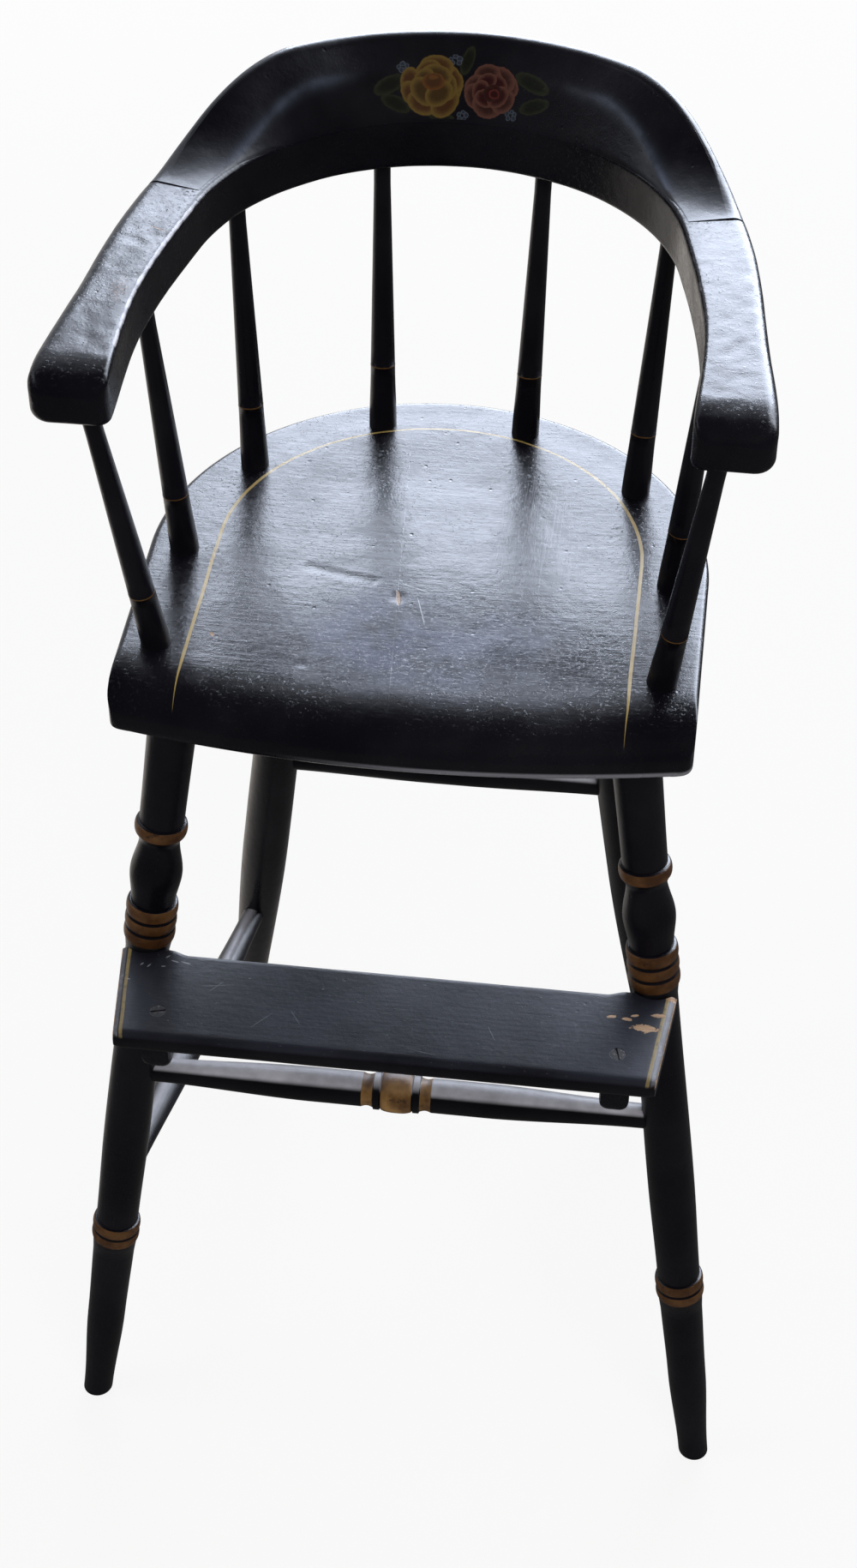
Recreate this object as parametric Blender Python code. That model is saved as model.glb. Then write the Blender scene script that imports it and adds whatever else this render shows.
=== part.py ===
"""A child's high chair: sawn arm bow and crest, eight spindles, saddled seat, turned legs and a footrest.

Metres, +Z up. The chair faces -Y and stands on z = 0.
"""
import math

import bmesh
import bpy
from mathutils import Vector

# Fits
GAP = 0.0003               # clearance between pieces that touch
CUT_OVER = 0.006           # how far a cutter stands out past the face that it opens

# Seat plank
SEAT_TOP_Z = 0.625         # the flat rim above the floor
SEAT_THICK = 0.032
SEAT_BACK_R = 0.170        # the half circle at the back
SEAT_BACK_Y = 0.0110       # centre of that half circle
SEAT_FRONT_HALF = 0.1685   # half width at the front corners
SEAT_SIDE_LEN = 0.143      # centre of the half circle to the front corners
SEAT_FRONT_BOW = 0.017     # how far the front edge swells out at the middle
SEAT_CORNER_R = 0.010
SEAT_DISH = 0.002          # depth of the saddle, which has a rim at the sides and back only
SEAT_ROLL_DEPTH = 0.042    # how far behind the front edge the roll starts
SEAT_FRONT_EDGE = 0.007    # upright edge left under the roll
SEAT_EDGE_R = 0.004        # rounding of the upper edge at the sides and back
SEAT_FOOT_CHAMFER = 0.003  # chamfer round the underside

# Arm bow: a round back, then arms that open out to the hands
ARM_RISE = 0.172           # seat rim to the underside of the arms
ARM_THICK = 0.033
BOW_INSET = 0.0105         # the round back's middle line inside the seat's round edge
BOW_LEAN = 0.023           # how far the round back lies behind the seat's round
BOW_TURN = math.radians(78.0)   # where the round back passes into the straight arm
BOW_BACK_W = 0.039
ARM_WAIST_W = 0.035
HAND_W = 0.0445
HAND_SPREAD = 0.005        # middle line of the hands outside the seat's front corners
HAND_SETBACK = 0.005       # nose of the hands behind the seat's front corners
HAND_NOSE_R = 0.011        # rounding of the hand's corners, seen from above
HAND_ROLL = 0.026          # the hand's top rolls down over this length behind its nose
HAND_ROLL_DROP = 0.008     # and by this much
ARM_INNER_R = 0.004        # rounding of the arm's long edges
ARM_OUTER_R = 0.008

# Crest rail on top of the bow
CREST_HEIGHT = 0.0405
CREST_TOP_W = 0.012        # thickness along its top; the inner face leans back to it
CREST_TURN = math.radians(75.0)   # where its feathered ends lie, from the very back
CREST_FULL_TURN = math.radians(34.0)   # it keeps its full height up to here
CREST_FALL = 2.0           # power of the fall: above 1 its ends feather out softly
CREST_END_THICK = 0.0015   # thickness at its ends and along its inner edge
CREST_ROUND = 0.0058       # rounding of its upper edges
CREST_INSET = 0.0006       # it stands this far inside the arm's faces
CREST_FOLD_OUT = 0.005     # its inner face is folded along a ridge that stands out by this much
CREST_FOLD_UP = 0.62       # height of the ridge on that face where it is highest, as a share
CREST_FOLD_LEAST = 0.08    # and at the ends
CREST_FOLD_TOP_TURN = math.radians(33.0)   # the ridge sinks from here
CREST_FOLD_END_TURN = math.radians(68.0)   # to the arm's inner edge here
DOWEL_R = 0.004
DOWEL_DEPTH = 0.013        # depth in each of the two pieces
DOWEL_INNER_TURN = math.radians(8.0)
DOWEL_OUTER_TURN = math.radians(36.0)

# Spindles, numbered from the front to the middle of the back
SPINDLE_INSET = 0.022      # seat edge to spindle middle
SPINDLE_1_BACK = 0.0455    # seat sockets of the two side spindles behind the front corners
SPINDLE_2_BACK = 0.1365
SPINDLE_1_HAND = 0.0205    # arm sockets of the same two behind the hand's nose
SPINDLE_2_HAND = 0.130
SPINDLE_ARM_IN = 0.006     # arm sockets of the same two inside the arm's middle line
SPINDLE_3_TURN = math.radians(54.6)   # the two back ones stand round the seat's half circle
SPINDLE_4_TURN = math.radians(18.2)
SPINDLE_FOOT_R = 0.0088
SPINDLE_TOP_R = 0.0052
SPINDLE_BELLY_R = 0.0078   # at the painted ring
SPINDLE_BELLY_UP = 0.040   # height of the painted ring above the seat
SPINDLE_SEAT_SHARE = 0.38  # depth of its seat socket, as a share of the plank
SPINDLE_ARM_SHARE = 0.46   # depth of its arm socket, as a share of the arm

# Legs: their tops under the seat and how far the feet stand outside the tops
FRONT_LEG_INSET = 0.034    # from the seat's side at the corner
FRONT_LEG_SETBACK = 0.028  # behind the front corners
FRONT_SPLAY_X = 0.0805
FRONT_SPLAY_Y = 0.075
REAR_LEG_INSET = 0.043     # from the seat's round edge
REAR_LEG_TURN = math.radians(45.5)
REAR_SPLAY_X = 0.0795
REAR_SPLAY_Y = 0.072
LEG_SEAT_SHARE = 0.5       # depth of its seat socket, as a share of the plank
LEG_TOP_R = 0.0138         # the round end in the seat
LEG_HEAD_R = 0.0146        # just below the seat
LEG_SHOULDER = 0.006       # length over which the head draws in to the round end
LEG_FOOT_R = 0.0102
LEG_ANKLE_R = 0.0142
LEG_SHAFT_R = 0.0152
LEG_NECK_R = 0.0138
REAR_LEG_R = 0.0168
RING_R = 0.0162            # outer radius of the turned rings
GROOVE = 0.0012            # depth of the grooves between rings
RING_STEP = 0.0004         # height of the step at each end of a row of rings
VASE_R = 0.0162
VASE_NECK_R = 0.0124
TOP_RING_DROP = 0.084      # seat underside to the top of the single ring
TOP_RING_H = 0.0085
VASE_H = 0.052             # single ring to the triple rings
TRIPLE_RING_H = 0.029
FOOT_RING_Z = 0.154        # underside of the double ring above the floor
FOOT_RING_H = 0.0175

# Stretchers
STRETCHER_DEPTH = 0.010    # depth of the sockets in the legs
STRETCHER_END_R = 0.0080
FRONT_STRETCHER_Z = 0.308
FRONT_STRETCHER_R = 0.0112
FRONT_BULB_R = 0.0135
FRONT_BULB_HALF = 0.0105
FRONT_RING_W = 0.0042      # the rings beside the bulb
FRONT_RING_R = 0.0124
FRONT_COVE_W = 0.0077      # the hollows outside the rings
FRONT_COVE_R = 0.0102
SIDE_STRETCHER_FRONT_Z = 0.204
SIDE_STRETCHER_REAR_Z = 0.172
SIDE_STRETCHER_R = 0.0108
REAR_STRETCHER_Z = 0.345
REAR_STRETCHER_R = 0.0095

# Footrest
FOOTREST_Z = 0.420         # top of the board
FOOTREST_THICK = 0.015
FOOTREST_END = 0.0145      # board's back corners outside the legs' middle
FOOTREST_TAPER = 0.0093    # how much shorter each end is at the front
FOOTREST_DEPTH = 0.074
FOOTREST_NOTCH = 0.002     # how far the legs are let into its back edge
FOOTREST_RECESS = 0.0035   # the back edge is sawn in this far between the legs
FOOTREST_EAR = 0.012       # width of the ear left beside each leg
FOOTREST_NOSE_R = 0.0066
BLOCK_LET = 0.001          # how far the leg is let into the block
BLOCK_W = 0.018
BLOCK_H = 0.020
BLOCK_SETBACK = 0.006      # board's front edge to the block's end
BLOCK_TAIL = 0.001         # how far the block runs past the leg's middle
BLOCK_CHAMFER = 0.006
SCREW_SETBACK = 0.0225     # board's front edge to the screw
SCREW_HEAD_R = 0.0048
SCREW_SHANK_R = 0.0021
SCREW_LEN = 0.026
SCREW_SLOT_W = 0.0012
SCREW_SLOT_DEPTH = 0.0011

# Mesh fineness
LEG_SIDES = 24
ROD_SIDES = 16
HOLE_SIDES = 16

# Places that follow from the sizes
SEAT_UNDER_Z = SEAT_TOP_Z - SEAT_THICK
SEAT_CORNER_Y = SEAT_BACK_Y - SEAT_SIDE_LEN
SEAT_ROLL_DROP = SEAT_THICK - SEAT_FRONT_EDGE
ARM_UNDER_Z = SEAT_TOP_Z + ARM_RISE
ARM_TOP_Z = ARM_UNDER_Z + ARM_THICK
BOW_R = SEAT_BACK_R - BOW_INSET
BOW_CENTRE_Y = SEAT_BACK_Y + BOW_LEAN
HAND_HALF_SPAN = SEAT_FRONT_HALF + HAND_SPREAD
HAND_FRONT_Y = SEAT_CORNER_Y + HAND_SETBACK
SPINDLE_SEAT_DEPTH = SPINDLE_SEAT_SHARE * SEAT_THICK
SPINDLE_ARM_DEPTH = SPINDLE_ARM_SHARE * ARM_THICK
LEG_SEAT_DEPTH = LEG_SEAT_SHARE * SEAT_THICK
REAR_LEG_RING = SEAT_BACK_R - REAR_LEG_INSET
FRONT_TOP = (SEAT_FRONT_HALF - FRONT_LEG_INSET, SEAT_CORNER_Y + FRONT_LEG_SETBACK)
FRONT_FOOT = (FRONT_TOP[0] + FRONT_SPLAY_X, FRONT_TOP[1] - FRONT_SPLAY_Y)
REAR_TOP = (REAR_LEG_RING * math.sin(REAR_LEG_TURN), SEAT_BACK_Y + REAR_LEG_RING * math.cos(REAR_LEG_TURN))
REAR_FOOT = (REAR_TOP[0] + REAR_SPLAY_X, REAR_TOP[1] + REAR_SPLAY_Y)
UP = Vector((0.0, 0.0, 1.0))


def clear_scene():
    for obj in list(bpy.data.objects):
        bpy.data.objects.remove(obj, do_unlink=True)


def paint(name, colour, roughness, metallic=0.0):
    mat = bpy.data.materials.new(name)
    mat.use_nodes = True
    node = mat.node_tree.nodes["Principled BSDF"]
    node.inputs["Base Color"].default_value = (*colour, 1.0)
    node.inputs["Roughness"].default_value = roughness
    node.inputs["Metallic"].default_value = metallic
    mat.diffuse_color = (*colour, 1.0)
    return mat


def add_object(name, bm, material, crease=35.0):
    """Turn a bmesh into a smooth-shaded object with one material."""
    bmesh.ops.recalc_face_normals(bm, faces=bm.faces)
    mesh = bpy.data.meshes.new(name)
    bm.to_mesh(mesh)
    bm.free()
    mesh.shade_smooth()
    mesh.set_sharp_from_angle(angle=math.radians(crease))
    obj = bpy.data.objects.new(name, mesh)
    bpy.context.collection.objects.link(obj)
    if material:
        mesh.materials.append(material)
    return obj


def loft(name, loops, material):
    """Skin a row of closed loops of equal length and close both ends."""
    bm = bmesh.new()
    rows = [[bm.verts.new(p) for p in loop] for loop in loops]
    count = len(rows[0])
    for low, high in zip(rows, rows[1:]):
        for i in range(count):
            j = (i + 1) % count
            bm.faces.new((low[i], low[j], high[j], high[i]))
    bm.faces.new(rows[0][::-1])
    bm.faces.new(rows[-1])
    return add_object(name, bm, material)


def turn(name, start, end, profile, sides, material):
    """A turned piece: profile lists (distance from start, radius) along the line from start to end."""
    loops = []
    angles = [2.0 * math.pi * i / sides for i in range(sides)]
    for distance, radius in profile:
        loops.append([Vector((radius * math.cos(a), radius * math.sin(a), distance)) for a in angles])
    obj = loft(name, loops, material)
    obj.location = start
    obj.rotation_mode = "QUATERNION"
    obj.rotation_quaternion = (Vector(end) - Vector(start)).to_track_quat("Z", "Y")
    return obj


def hide_cutter(obj):
    obj.hide_render = True
    obj.display_type = "WIRE"
    return obj


def cut(target, cutter):
    mod = target.modifiers.new("cut_" + cutter.name, "BOOLEAN")
    mod.operation = "DIFFERENCE"
    mod.solver = "EXACT"
    mod.object = cutter


def drill(target, start, end, radius, sides=HOLE_SIDES):
    """Cut a round hole from start to end; its name tells whose hole it is."""
    length = (Vector(end) - Vector(start)).length
    name = "hole_%s_%d" % (target.name, len(target.modifiers))
    cutter = turn(name, start, end, ((0.0, radius), (length, radius)), sides, None)
    cut(target, hide_cutter(cutter))


def along(start, end, distance):
    start = Vector(start)
    return start + (Vector(end) - start).normalized() * distance


def mirror(point, side):
    return Vector((point[0] * side, point[1], point[2]))


def smooth_step(value):
    value = min(1.0, max(0.0, value))
    return value * value * (3.0 - 2.0 * value)


def seat_front_y(x):
    return SEAT_CORNER_Y - SEAT_FRONT_BOW * (1.0 - (x / SEAT_FRONT_HALF) ** 2)


def seat_outline():
    """Points round the seat, from the back middle by the right side to the front and back again."""
    half = []
    for i in range(18):
        a = 0.5 * math.pi * i / 17
        half.append((SEAT_BACK_R * math.sin(a), SEAT_BACK_Y + SEAT_BACK_R * math.cos(a)))
    corner_top = SEAT_CORNER_Y + SEAT_CORNER_R
    for i in range(1, 5):
        t = i / 4
        x = SEAT_BACK_R + (SEAT_FRONT_HALF - SEAT_BACK_R) * t
        half.append((x, SEAT_BACK_Y + (corner_top - SEAT_BACK_Y) * t))
    turn_x = SEAT_FRONT_HALF - SEAT_CORNER_R
    turn_y = seat_front_y(turn_x)
    for i in range(1, 5):
        t = i / 4
        x = (1 - t) ** 2 * SEAT_FRONT_HALF + 2 * t * (1 - t) * SEAT_FRONT_HALF + t * t * turn_x
        y = (1 - t) ** 2 * corner_top + 2 * t * (1 - t) * turn_y + t * t * turn_y
        half.append((x, y))
    for i in range(1, 10):
        x = turn_x * (1.0 - i / 9)
        half.append((x, seat_front_y(x)))
    left = [(-x, y) for x, y in half[1:-1]][::-1]
    return half + left


def seat_surface(x, y, edge):
    """Height of the seat's upper face at x, y, with edge the distance from the outline."""
    side = SEAT_BACK_R - math.hypot(x, max(0.0, y - SEAT_BACK_Y))
    sunk = SEAT_DISH * smooth_step((side - SPINDLE_INSET) / (3.0 * SPINDLE_INSET))
    behind = max(0.0, y - seat_front_y(x))
    lift = max(0.0, 1.0 - behind / SEAT_ROLL_DEPTH)
    roll = (SEAT_ROLL_DROP - sunk) * (1.0 - math.sqrt(max(0.0, 1.0 - lift ** 2.4)))
    near = max(0.0, SEAT_EDGE_R - edge)
    rounding = SEAT_EDGE_R - math.sqrt(max(0.0, SEAT_EDGE_R ** 2 - near ** 2))
    return SEAT_TOP_Z - sunk - max(roll, rounding)


def make_seat(material):
    outline = seat_outline()
    middle = Vector((0.0, SEAT_BACK_Y, 0.0))
    shares = (1.0, 0.991, 0.976, 0.955, 0.93, 0.90, 0.865, 0.82, 0.76, 0.66, 0.5, 0.3, 0.12)
    loops = []
    under = 1.0 - SEAT_FOOT_CHAMFER / SEAT_BACK_R
    for share, z in ((under, SEAT_UNDER_Z), (1.0, SEAT_UNDER_Z + SEAT_FOOT_CHAMFER)):
        loops.append([Vector((x * share, middle.y + (y - middle.y) * share, z)) for x, y in outline])
    for share in shares:
        loop = []
        for x, y in outline:
            px = x * share
            py = middle.y + (y - middle.y) * share
            edge = (1.0 - share) * math.hypot(x, y - middle.y)
            loop.append(Vector((px, py, seat_surface(px, py, edge))))
        loops.append(loop)
    return loft("seat", loops, material)


def bow_point(turn_angle):
    """Middle line of the round back, at an angle from the very back toward the right."""
    return Vector((BOW_R * math.sin(turn_angle), BOW_CENTRE_Y + BOW_R * math.cos(turn_angle), 0.0))


def arm_point(t):
    """Middle line of the straight arm: t runs from 0 at the round back to 1 at the hand's nose."""
    start = bow_point(BOW_TURN)
    end = Vector((HAND_HALF_SPAN, HAND_FRONT_Y, 0.0))
    reach = (end - start).length
    leave = Vector((math.cos(BOW_TURN), -math.sin(BOW_TURN), 0.0)) * reach
    arrive = Vector((0.0, -1.0, 0.0)) * reach
    h00 = 2 * t ** 3 - 3 * t ** 2 + 1
    h10 = t ** 3 - 2 * t ** 2 + t
    h01 = -2 * t ** 3 + 3 * t ** 2
    h11 = t ** 3 - t ** 2
    return h00 * start + h10 * leave + h01 * end + h11 * arrive


def arm_point_at_y(y):
    low, high = 0.0, 1.0
    for _ in range(40):
        mid = 0.5 * (low + high)
        if arm_point(mid).y > y:
            low = mid
        else:
            high = mid
    return arm_point(low)


def arm_width(t):
    """Width along the straight arm: it narrows to a waist, then widens to the hand."""
    if t < 0.5:
        return BOW_BACK_W + (ARM_WAIST_W - BOW_BACK_W) * smooth_step(2.0 * t)
    return ARM_WAIST_W + (HAND_W - ARM_WAIST_W) * smooth_step(2.0 * t - 1.0)


def rounded_section(half_w, low, high, r_in, r_out):
    """Rounded rectangle of 16 points in (outward, z), with its own radii on the inner and outer edges."""
    r_in = min(r_in, 0.95 * half_w, 0.48 * (high - low))
    r_out = min(r_out, 0.95 * half_w, 0.48 * (high - low))
    corners = ((-half_w + r_in, low + r_in, r_in, 180), (half_w - r_out, low + r_out, r_out, 270),
               (half_w - r_out, high - r_out, r_out, 0), (-half_w + r_in, high - r_in, r_in, 90))
    points = []
    for cx, cz, radius, first in corners:
        for step in range(4):
            a = math.radians(first + 30 * step)
            points.append((cx + radius * math.cos(a), cz + radius * math.sin(a)))
    return points


def place_section(section, centre, outward, side):
    return [mirror(Vector((centre.x + outward.x * u, centre.y + outward.y * u, z)), side) for u, z in section]


def outward_of(before, after):
    """Level direction square to the path, away from the sitter, for a path run from the back to the hand."""
    step = (after - before).normalized()
    return Vector((-step.y, step.x, 0.0))


def make_arm(name, side, material):
    loops = []
    first = math.asin(0.5 * GAP / BOW_R)
    for i in range(11):
        a = first + (BOW_TURN - first) * i / 10
        outward = Vector((math.sin(a), math.cos(a), 0.0))
        section = rounded_section(0.5 * BOW_BACK_W, ARM_UNDER_Z, ARM_TOP_Z, ARM_INNER_R, ARM_OUTER_R)
        centre = bow_point(a)
        if i == 0:
            loops.append([mirror(Vector((0.5 * GAP, centre.y + u, z)), side) for u, z in section])
        else:
            loops.append(place_section(section, centre, outward, side))
    reach = (arm_point(1.0) - arm_point(0.0)).length
    nose = 1.0 - HAND_NOSE_R / reach
    roll = 1.0 - HAND_ROLL / reach
    stops = [roll * i / 7 for i in range(1, 8)] + [roll + (nose - roll) * s for s in (0.35, 0.7, 1.0)]
    stops += [nose + (1.0 - nose) * s for s in (0.35, 0.6, 0.8, 0.93, 1.0)]
    for t in stops:
        left = max(0.0, (1.0 - t) * reach)
        near = max(0.0, HAND_NOSE_R - left)
        drawn = HAND_NOSE_R - math.sqrt(max(0.0, HAND_NOSE_R ** 2 - near ** 2))
        half_w = 0.5 * arm_width(t) - 0.8 * drawn
        low = ARM_UNDER_Z + 0.5 * drawn
        rolled = max(0.0, HAND_ROLL - left) / HAND_ROLL
        high = ARM_TOP_Z - 0.5 * drawn - HAND_ROLL_DROP * rolled ** 2
        section = rounded_section(half_w, low, high, ARM_INNER_R, ARM_OUTER_R)
        outward = outward_of(arm_point(t - 0.01), arm_point(min(1.0, t + 0.01)))
        loops.append(place_section(section, arm_point(t), outward, side))
    return loft(name, loops, material)


def crest_height(turn_angle):
    share = max(0.0, abs(turn_angle) - CREST_FULL_TURN) / (CREST_TURN - CREST_FULL_TURN)
    return CREST_END_THICK + (CREST_HEIGHT - CREST_END_THICK) * max(0.0, 1.0 - share ** 2) ** CREST_FALL


def crest_fold(turn_angle):
    """Where the ridge lies on the crest's inner face, as a share of the face, and how far it stands out."""
    a = abs(turn_angle)
    risen = smooth_step((CREST_FOLD_END_TURN - a) / (CREST_FOLD_END_TURN - CREST_FOLD_TOP_TURN))
    share = max(CREST_FOLD_LEAST, CREST_FOLD_UP * risen)
    return share, CREST_FOLD_OUT * risen * smooth_step(a / CREST_FOLD_TOP_TURN)


def crest_section(turn_angle):
    """The crest's section in (outward, z): upright behind, rounded on top, its folded face leaning back."""
    height = crest_height(turn_angle)
    base = ARM_TOP_Z + GAP
    half = 0.5 * BOW_BACK_W - CREST_INSET
    lip = 0.7 * CREST_END_THICK
    r = min(CREST_ROUND, 0.45 * height)
    ridge = half - CREST_TOP_W + r
    slope = math.atan2(height - lip, 2.0 * half - CREST_TOP_W)
    section = [(-half, base), (0.0, base), (half, base), (half, base + 0.5 * (height - r))]
    for step in range(4):
        b = math.radians(30 * step)
        section.append((half - r + r * math.cos(b), base + height - r + r * math.sin(b)))
    for step in range(4):
        b = math.radians(90) + slope * step / 3
        section.append((ridge + r * math.cos(b), base + height - r + r * math.sin(b)))
    run = Vector((section[-1][0] + half, section[-1][1] - base - lip))
    share, out = crest_fold(turn_angle)
    fold = Vector((-half, base + lip)) + share * run + out * Vector((-run.y, run.x)).normalized()
    section.append((fold.x, fold.y))
    section.append((-half, base + lip))
    return section


def make_crest(material):
    loops = []
    count = 36
    for i in range(count + 1):
        a = CREST_TURN * (2.0 * i / count - 1.0)
        outward = Vector((math.sin(a), math.cos(a), 0.0))
        loops.append(place_section(crest_section(a), bow_point(a), outward, 1.0))
    return loft("crest", loops, material)


def make_dowels(crest, arms, material):
    for side, arm in arms.items():
        for place, angle in (("inner", DOWEL_INNER_TURN), ("outer", DOWEL_OUTER_TURN)):
            centre = mirror(bow_point(angle), side)
            low = Vector((centre.x, centre.y, ARM_TOP_Z - DOWEL_DEPTH))
            high = Vector((centre.x, centre.y, ARM_TOP_Z + GAP + DOWEL_DEPTH))
            length = (high - low).length
            chamfer = 0.25 * DOWEL_R
            name = "crest_dowel_%s_%s" % (side_word(side), place)
            profile = ((0.0, DOWEL_R - chamfer), (chamfer, DOWEL_R), (length - chamfer, DOWEL_R),
                       (length, DOWEL_R - chamfer))
            turn(name, low, high, profile, ROD_SIDES, material)
            bottom = low - UP * GAP
            top = high + UP * GAP
            drill(arm, bottom, Vector((centre.x, centre.y, ARM_TOP_Z + CUT_OVER)), DOWEL_R + GAP)
            drill(crest, Vector((centre.x, centre.y, ARM_TOP_Z - CUT_OVER)), top, DOWEL_R + GAP)


def side_word(side):
    return "right" if side > 0 else "left"


def spindle_places():
    """Foot and top of the four right-hand spindles, from the front to the back."""
    places = []
    for back, hand in ((SPINDLE_1_BACK, SPINDLE_1_HAND), (SPINDLE_2_BACK, SPINDLE_2_HAND)):
        y = SEAT_CORNER_Y + back
        x = SEAT_FRONT_HALF + (SEAT_BACK_R - SEAT_FRONT_HALF) * back / SEAT_SIDE_LEN - SPINDLE_INSET
        top = arm_point_at_y(HAND_FRONT_Y + hand)
        places.append((Vector((x, y, SEAT_TOP_Z)), Vector((top.x - SPINDLE_ARM_IN, top.y, ARM_UNDER_Z))))
    ring = SEAT_BACK_R - SPINDLE_INSET
    for angle in (SPINDLE_3_TURN, SPINDLE_4_TURN):
        foot = Vector((ring * math.sin(angle), SEAT_BACK_Y + ring * math.cos(angle), SEAT_TOP_Z))
        top = bow_point(angle)
        places.append((foot, Vector((top.x, top.y, ARM_UNDER_Z))))
    return places


def make_spindles(seat, arms, material):
    for number, (foot, top) in enumerate(spindle_places(), start=1):
        for side, arm in arms.items():
            low = mirror(foot, side)
            high = mirror(top, side)
            clear = (high - low).length
            start = along(low, high, -SPINDLE_SEAT_DEPTH)
            end = along(high, low, -SPINDLE_ARM_DEPTH)
            above = SPINDLE_SEAT_DEPTH
            profile = ((0.0, SPINDLE_FOOT_R), (above, SPINDLE_FOOT_R),
                       (above + SPINDLE_BELLY_UP, SPINDLE_BELLY_R),
                       (above + 0.6 * clear, 0.5 * (SPINDLE_BELLY_R + SPINDLE_TOP_R)),
                       (above + 0.9 * clear, SPINDLE_TOP_R),
                       (above + clear + SPINDLE_ARM_DEPTH, SPINDLE_TOP_R))
            name = "spindle_%s_%d" % (side_word(side), number)
            turn(name, start, end, profile, ROD_SIDES, material)
            drill(seat, along(start, end, -GAP), along(low, high, CUT_OVER), SPINDLE_FOOT_R + GAP)
            drill(arm, along(high, low, CUT_OVER), along(end, start, -GAP), SPINDLE_TOP_R + GAP)


def leg_point(foot, top, z):
    t = z / SEAT_UNDER_Z
    return Vector((foot[0] + (top[0] - foot[0]) * t, foot[1] + (top[1] - foot[1]) * t, z))


def rings(low, high, count, radius):
    """Heights and radii of turned rings that fill the height from low to high."""
    step = (high - low) / count
    edge = 0.16 * step
    points = []
    for i in range(count):
        base = low + i * step
        points += [(base, radius - GROOVE), (base + edge, radius - 0.2 * GROOVE), (base + 0.5 * step, radius),
                   (base + step - edge, radius - 0.2 * GROOVE)]
    points.append((high, radius - GROOVE))
    return points


def leg_head():
    """Heights and radii of a leg's head and of its round end in the seat."""
    neck = SEAT_UNDER_Z - 0.5 * LEG_SHOULDER
    return [(neck - 0.5 * LEG_SHOULDER, LEG_HEAD_R), (neck, LEG_TOP_R),
            (SEAT_UNDER_Z + LEG_SEAT_DEPTH, LEG_TOP_R)]


def front_leg_profile():
    """Heights above the floor and radii of a front leg."""
    ring_top = SEAT_UNDER_Z - TOP_RING_DROP
    ring_low = ring_top - TOP_RING_H
    triple_top = ring_low - VASE_H
    triple_low = triple_top - TRIPLE_RING_H
    foot_top = FOOT_RING_Z + FOOT_RING_H
    shaft = triple_low - foot_top
    points = [(-CUT_OVER, LEG_FOOT_R), (0.1 * FOOT_RING_Z, LEG_FOOT_R + 0.25 * (LEG_ANKLE_R - LEG_FOOT_R)),
              (0.5 * FOOT_RING_Z, LEG_FOOT_R + 0.8 * (LEG_ANKLE_R - LEG_FOOT_R)), (FOOT_RING_Z, LEG_ANKLE_R)]
    points += rings(FOOT_RING_Z + RING_STEP, foot_top - RING_STEP, 2, RING_R)
    points += [(foot_top, LEG_ANKLE_R), (foot_top + 0.33 * shaft, LEG_SHAFT_R),
               (foot_top + 0.7 * shaft, 0.5 * (LEG_SHAFT_R + LEG_NECK_R)), (triple_low, LEG_NECK_R)]
    points += rings(triple_low + RING_STEP, triple_top - RING_STEP, 3, RING_R)
    points += [(triple_top, LEG_NECK_R), (triple_top + 0.2 * VASE_H, 0.5 * (LEG_NECK_R + VASE_R)),
               (triple_top + 0.42 * VASE_H, VASE_R),
               (triple_top + 0.65 * VASE_H, 0.5 * (VASE_R + VASE_NECK_R)),
               (triple_top + 0.88 * VASE_H, VASE_NECK_R), (ring_low, VASE_NECK_R)]
    points += rings(ring_low + RING_STEP, ring_top - RING_STEP, 1, RING_R)
    points += [(ring_top, LEG_NECK_R), (ring_top + 0.4 * TOP_RING_DROP, LEG_HEAD_R)]
    points += leg_head()
    return points


def rear_leg_profile():
    """Heights above the floor and radii of a plain rear leg."""
    shares = ((0.03, 0.15), (0.2, 0.7), (0.42, 1.0))
    points = [(-CUT_OVER, LEG_FOOT_R)]
    points += [(SEAT_UNDER_Z * h, LEG_FOOT_R + (REAR_LEG_R - LEG_FOOT_R) * s) for h, s in shares]
    points.append((0.7 * SEAT_UNDER_Z, 0.5 * (REAR_LEG_R + LEG_HEAD_R)))
    points += leg_head()
    return points


def radius_at(profile, z):
    for (low, r_low), (high, r_high) in zip(profile, profile[1:]):
        if low <= z <= high:
            return r_low + (r_high - r_low) * (z - low) / (high - low)
    return profile[-1][1]


def widest(profile, low, high):
    """Largest radius of a profile between two heights."""
    inside = [radius for z, radius in profile if low < z < high]
    return max(inside + [radius_at(profile, low), radius_at(profile, high)])


def make_leg(name, foot, top, profile, side, seat, floor, material):
    base = mirror(leg_point(foot, top, 0.0), side)
    head = mirror(leg_point(foot, top, SEAT_UNDER_Z), side)
    slope = (head - base).length / SEAT_UNDER_Z
    first = profile[0][0]
    start = base + (head - base) * (first / SEAT_UNDER_Z)
    stations = [((z - first) * slope, radius) for z, radius in profile]
    leg = turn(name, start, head, stations, LEG_SIDES, material)
    cut(leg, floor)
    end = along(start, head, stations[-1][0] + GAP)
    drill(seat, along(head, base, CUT_OVER), end, LEG_TOP_R + GAP, LEG_SIDES)
    return leg


def make_floor_cutter():
    """A flat block under the floor that saws the feet level."""
    reach = FRONT_FOOT[0] + REAR_FOOT[0]
    loop = [(-reach, -reach), (reach, -reach), (reach, reach), (-reach, reach)]
    loops = [[Vector((x, y, z)) for x, y in loop] for z in (-2.0 * CUT_OVER, 0.0)]
    return hide_cutter(loft("floor_cutter", loops, None))


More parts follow.
